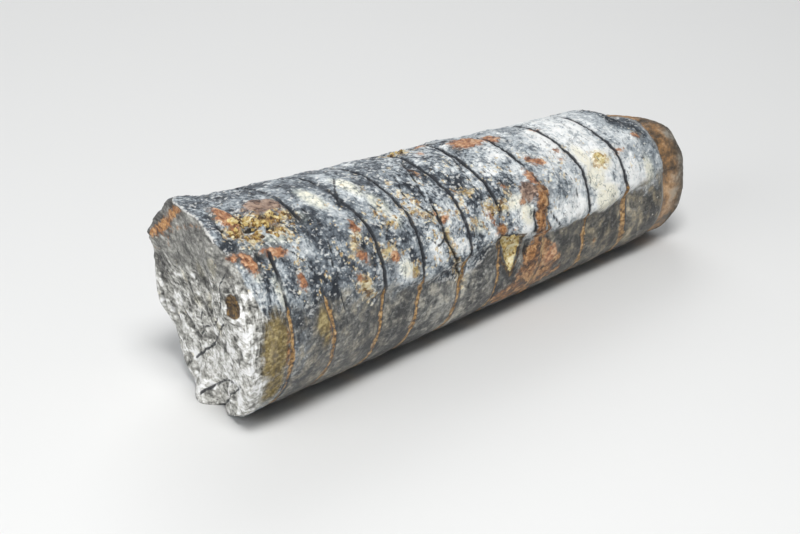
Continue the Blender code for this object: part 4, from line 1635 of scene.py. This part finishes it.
    def _hidden_marks(self) -> tuple[Mark, ...]:
        """Marks of the same kinds scattered over the back."""
        random = np.random.default_rng(self.seed + 1)
        kinds = (Stain.SALMON, Stain.SALMON, Stain.OCHRE, Stain.CREAM, Stain.CHALK, Stain.CHALK, Stain.RUST)
        marks = []
        for _ in range(self.hidden_marks):
            stain = kinds[random.integers(len(kinds))]
            station, angle = random.uniform(3.0, 101.0), random.uniform(112.0, 236.0)
            length, width = random.uniform(0.7, 2.6), random.uniform(0.6, 1.9)
            proud = 0.0 if stain is Stain.CHALK else random.uniform(0.0, 0.2)
            marks.append(Mark(stain, station, angle, length, width, proud, random.uniform(-60.0, 60.0)))
        return tuple(marks)

    def _seam_relief(self, places: np.ndarray) -> np.ndarray:
        """Cracks along the side."""
        relief = np.zeros(len(places))
        crack = np.full(len(places), 2.0)
        sway = 0.28 * self.noise.layered(places + 9.0, 2.0, 3)
        for seam in SEAMS:
            gap = self._gap_to(seam.path, sway)
            relief -= seam.depth * np.exp(-((gap / (0.75 * seam.width)) ** 2))
            crack = np.minimum(crack, gap - seam.width / 2.0)
        outside = self.is_face | self.is_dome
        self.fields["crack"] = np.where(outside, 2.0, crack)
        return np.where(outside, 0.0, relief)

    def _end_relief(self, places: np.ndarray) -> np.ndarray:
        """The broken end: grainy facets, cracks, and bands of rust."""
        noise = self.noise
        spot = np.column_stack((self.side, self.up))
        wedge = rise(5.5, 9.0, self.up + 0.25 * self.side)
        relief = 0.34 * noise.layered(places, 3.6, 5, 0.6) * (1.0 - 0.5 * wedge)
        warped = places + 0.8 * noise.smooth(places, 2.6)[:, None]
        _, gap, owner = noise.cells(warped, 2.4)
        relief += (0.55 * (owner - 0.5) * rise(0.0, 0.5, gap)) * (1.0 - 0.7 * wedge)
        _, gap, owner = noise.cells(warped * 1.1, 0.95)
        relief += 0.16 * (owner - 0.5) * rise(0.0, 0.2, gap)
        sway = 0.3 * noise.layered(places + 5.0, 2.2, 3)
        crack = np.full(len(places), 2.0)
        for line in END_CRACKS:
            away = gap_to_path(spot + sway[:, None], np.array(line.path))
            relief -= 0.6 * line.depth * np.exp(-((away / 0.3) ** 2))
            crack = np.minimum(crack, away - line.half_width)
        rust = np.full(len(places), -2.0)
        for line in END_RUST:
            away = gap_to_path(spot + sway[:, None], np.array(line.path))
            rust = np.maximum(rust, line.half_width - away)
        cream = np.full(len(places), -2.0)
        for side, up, radius in END_SPOTS:
            cream = np.maximum(cream, radius - np.hypot(self.side - side, self.up - up))
        for name, values in (("crack", crack), ("orange", rust), ("cream", cream)):
            self.fields[name] = np.where(self.is_face, np.clip(values, -2.0, 2.0), self.fields[name])
        inward = (1.0 - self.share) * 17.0 + 0.1
        across = np.where(self.is_face, inward, 1.5 * (self.edge - self.row)) - END_PIT[0]
        aside = turned(self.angle, END_PIT[1]) * DEGREE
        pit = np.where(self.is_dome, -2.0, 1.0 - np.hypot(across / END_PIT[2], aside / END_PIT[3]))
        self.fields["umber"] = np.maximum(self.fields["umber"], np.clip(pit * 2.6, -2.0, 2.0))
        self.fields["coarseness"] = 1.0 - 0.45 * wedge
        lean = 0.007 - 0.020 * wedge - 0.0036 * (self.up + 2.0) - 0.001 * self.side
        self.fields["face_tone"] = np.clip(lean, -0.12, 0.1)
        soft = hump(turned(self.angle, -2.0) / 68.0)
        reach = np.where(self.is_face, inward, self.edge - self.row) + (5.2 + 1.6 * sway) * soft
        self.fields["facing"] = np.clip(reach * (1.0 + 2.0 * (1.0 - soft)), -6.0, 6.0)
        beside = np.where(self.is_face, inward, self.row - self.edge)
        # pale rim along the top of the broken end: partly edge wear, partly a painted highlight
        crest = eased(((50, 0.0), (62, 1.0), (100, 1.0), (110, 0.0)), turned(self.angle, 0.0))
        self.fields["rim_wear_and_highlight"] = np.clip((0.28 - beside) * crest - 0.6 * (1.0 - crest), -2.0, 2.0)
        lip = 0.16 * crest * np.exp(-((beside / 0.5) ** 2))
        fade = 1.0 - 0.85 * hump((1.0 - self.share) * self.face_rings / 2.2)
        pitted = -0.6 * rise(-0.1, 0.5, pit)
        return np.where(self.is_face, relief * fade, 0.0) + lip + pitted

    def _store(self) -> None:
        """Write the sculpted places and the fields to the mesh."""
        mesh = self.stone.data
        index = np.clip(self.ring, 0, self.rings - 1) * self.columns + self.column
        places = self.points[index]
        grid = self.points.reshape(self.rings, self.columns, 3)
        near, far = grid[0].mean(axis=0), grid[-1].mean(axis=0)
        far[0] = self.form.first_suture_x + self.form.sutures[-1].station
        far[0] += self.form.band_length + self.form.dome_height
        places[self.ring < 0] = near
        places[self.ring >= self.rings] = far
        mesh.vertices.foreach_set("co", (places * MM).ravel())
        for name, values in self.fields.items():
            layer = mesh.attributes.new(name, "FLOAT", "POINT")
            layer.data.foreach_set("value", values[index].astype(np.float32))
        mesh.update()

@dataclass(frozen=True)
class CrystalNest:
    """A pocket or crust with crystals in it.

    Attributes:
        station: middle of the nest along the cone.
        angle: middle of the nest round it.
        half_length: half its size along the cone, in millimetres.
        half_width: half its size round the cone.
        count: crystals in it.
        size: mean size of a crystal.
        pale: least tint of its crystals, from 0 to 1.
    """

    station: float
    angle: float
    half_length: float
    half_width: float
    count: int
    size: float
    pale: float = 0.0


@dataclass
class PocketCrystals:
    """Small honey coloured crystals that sit in the stone's pockets and crusts."""

    stone: FossilStone
    seed: int = 23
    sunk: float = 0.22       # share of a crystal's size that it is sunk by
    nests: tuple[CrystalNest, ...] = (
        CrystalNest(-4.2, 61, 1.5, 0.8, 9, 0.90),
        CrystalNest(-0.6, 68, 3.0, 0.9, 18, 0.90),
        CrystalNest(4.2, 64, 3.0, 0.9, 18, 0.85),
        CrystalNest(-0.8, 57, 2.0, 0.9, 11, 0.80),
        CrystalNest(8.4, 64, 1.3, 1.0, 6, 0.80),
        CrystalNest(3.6, 55, 1.8, 1.0, 8, 0.90),
        CrystalNest(56.2, 5, 1.7, 1.5, 12, 1.05, 0.5),
        CrystalNest(56.8, -4, 1.2, 1.9, 10, 0.90, 0.5),
        CrystalNest(57.0, -11, 0.7, 2.0, 8, 0.75, 0.4),
        CrystalNest(51.8, 30, 1.2, 1.2, 4, 0.60),
        CrystalNest(54.8, 30, 1.2, 0.8, 4, 0.60),
        CrystalNest(28.4, 41, 1.0, 0.7, 3, 0.55),
        CrystalNest(46.0, 100, 1.6, 0.8, 4, 0.60),
    )

    def build(self) -> bpy.types.Object:
        """Model one crystal, then set copies of it into the stone.

        Returns:
            The crystals' object.
        """
        pattern = self._pattern()
        random = np.random.default_rng(self.seed)
        mesh = bmesh.new()
        mesh.verts.layers.float.new("tint")
        normals = self.stone.normals(self.stone.points)
        for nest in self.nests:
            for _ in range(nest.count):
                reach, turn = math.sqrt(random.random()), random.uniform(0.0, math.tau)
                station = nest.station + nest.half_length * reach * math.cos(turn)
                degree = self.stone.form.degree(nest.station)
                seat = self._seat(station, nest.angle + nest.half_width * reach * math.sin(turn) / degree)
                before = len(mesh.verts)
                mesh.from_mesh(pattern.data)
                mesh.verts.ensure_lookup_table()
                self._set(mesh, before, self.stone.points[seat], normals[seat], nest, random)
        data = bpy.data.meshes.new("pocket_crystals")
        mesh.to_mesh(data)
        mesh.free()
        bpy.data.objects.remove(pattern, do_unlink=True)
        crystals = bpy.data.objects.new("pocket_crystals", data)
        bpy.context.scene.collection.objects.link(crystals)
        data.materials.append(CrystalFinish().build())
        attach(crystals, BODY)
        return crystals

    def _pattern(self) -> bpy.types.Object:
        """One blunt crystal, a bevelled and tapered block."""
        deselect_all()
        bpy.ops.mesh.primitive_cube_add(size=MM, location=(0.0, 0.0, 0.0))
        pattern = bpy.context.object
        bpy.ops.object.mode_set(mode="EDIT")
        bpy.ops.mesh.bevel(offset=0.09 * MM, segments=1, affect="EDGES")
        bpy.ops.object.mode_set(mode="OBJECT")
        for vertex in pattern.data.vertices:
            taper = 1.0 - 0.35 * (vertex.co.z / MM + 0.5)
            vertex.co.x = vertex.co.x * taper + 0.25 * vertex.co.z
            vertex.co.y *= taper
        return pattern

    def _seat(self, station: float, angle: float) -> int:
        """Point of the stone's grid nearest a station and angle."""
        gap = np.hypot(self.stone.station - station, turned(self.stone.angle, angle) * 0.3)
        gap = np.where(self.stone.is_face | self.stone.is_dome, 99.0, gap)
        return int(np.argmin(gap))

    def _set(self, mesh: bmesh.types.BMesh, before: int, place: np.ndarray, normal: np.ndarray,
             nest: CrystalNest, random: np.random.Generator) -> None:
        """Shape and turn the newest crystal, and sink it a little into the stone.

        Args:
            mesh: mesh of all the crystals.
            before: vertices that it had before this one.
            place: point of the stone in millimetres.
            normal: outward direction there.
            nest: the nest that it belongs to.
            random: seeded source of chance.
        """
        size = nest.size * random.uniform(0.55, 1.35)
        stand = Vector(normal).to_track_quat("Z", "Y").to_matrix().to_4x4()
        lean = Euler((random.normal(0.0, 0.5), random.normal(0.0, 0.5), random.uniform(0.0, 6.28)))
        shape = Matrix.Diagonal((size * random.uniform(0.7, 1.1), size, size * random.uniform(0.7, 1.2), 1.0))
        centre = Vector(place - normal * size * self.sunk) * MM
        move = Matrix.Translation(centre) @ stand @ lean.to_matrix().to_4x4() @ shape
        shade = nest.pale + (1.0 - nest.pale) * random.random()
        tint = mesh.verts.layers.float["tint"]
        for vertex in mesh.verts[before:]:
            vertex.co = move @ vertex.co
            vertex.co.z = max(vertex.co.z, 0.0)
            vertex[tint] = shade


# ---------------------------------------------------------------------------------------------
# Studio
# ---------------------------------------------------------------------------------------------


@dataclass(frozen=True)
class Lamp:
    """A square soft light that shines at the stone. Lengths are in metres, and power in watts."""

    name: str
    place: tuple[float, float, float]
    side: float
    power: float


@dataclass
class Studio:
    """Pale floor, soft lights and the camera. Lengths are in metres."""

    floor_size: float = 8.0
    aim: tuple[float, float, float] = (-0.006075, 0.002067, 0.010157)
    eye: tuple[float, float, float] = (-0.31344, -0.28008, 0.17873)
    lens: float = 114.47
    sensor: float = 36.0
    sky: Colour = (0.80, 0.83, 0.87)
    sky_strength: float = 0.28
    lamps: tuple[Lamp, ...] = (
        Lamp("key", (-0.30, -0.32, 0.66), 0.26, 5.6),
        Lamp("fill", (-0.80, 0.05, 0.28), 0.60, 3.0),
        Lamp("back", (0.45, 0.55, 0.50), 0.50, 2.0),
    )

    def build(self) -> None:
        """Set up floor, sky, lights and camera."""
        self._floor()
        self._sky()
        for lamp in self.lamps:
            self._light(lamp)
        self._camera()
        bpy.context.scene.view_settings.view_transform = "Standard"

    def _floor(self) -> None:
        """Large pale floor that the stone lies on."""
        deselect_all()
        bpy.ops.mesh.primitive_plane_add(size=self.floor_size, location=(0.0, 0.0, 0.0))
        floor = bpy.context.object
        floor.name = "studio_floor"
        floor.data.materials.append(FloorFinish().build())

    def _sky(self) -> None:
        """Pale light from all round."""
        world = bpy.data.worlds.new("studio")
        world.use_nodes = True
        background = world.node_tree.nodes["Background"]
        background.inputs["Color"].default_value = (*self.sky, 1.0)
        background.inputs["Strength"].default_value = self.sky_strength
        bpy.context.scene.world = world

    def _light(self, lamp: Lamp) -> None:
        """Hang a lamp and aim it.

        Args:
            lamp: the lamp.
        """
        data = bpy.data.lights.new(lamp.name, "AREA")
        data.energy = lamp.power
        data.size = lamp.side
        self._hang(bpy.data.objects.new(lamp.name, data), lamp.place)

    def _hang(self, item: bpy.types.Object, place: tuple[float, float, float]) -> None:
        """Put a light or camera in its place, facing the stone."""
        item.location = place
        item.rotation_euler = (Vector(self.aim) - Vector(place)).to_track_quat("-Z", "Y").to_euler()
        bpy.context.scene.collection.objects.link(item)

    def _camera(self) -> None:
        """Camera with a long lens, a little above the stone and off its broken end."""
        data = bpy.data.cameras.new("camera")
        data.lens = self.lens
        data.sensor_width = self.sensor
        data.clip_start = 0.01
        camera = bpy.data.objects.new("camera", data)
        self._hang(camera, self.eye)
        bpy.context.scene.camera = camera


def main() -> None:
    """Build the fossil and its studio."""
    logging.basicConfig(level=logging.INFO, format="%(message)s")
    stone = FossilStone()
    piece = stone.build()
    LOG.info("stone: %d faces", len(piece.data.polygons))
    crystals = PocketCrystals(stone).build()
    LOG.info("crystals: %d faces", len(crystals.data.polygons))
    Studio().build()
    LOG.info("studio ready")


if __name__ == "__main__":
    main()
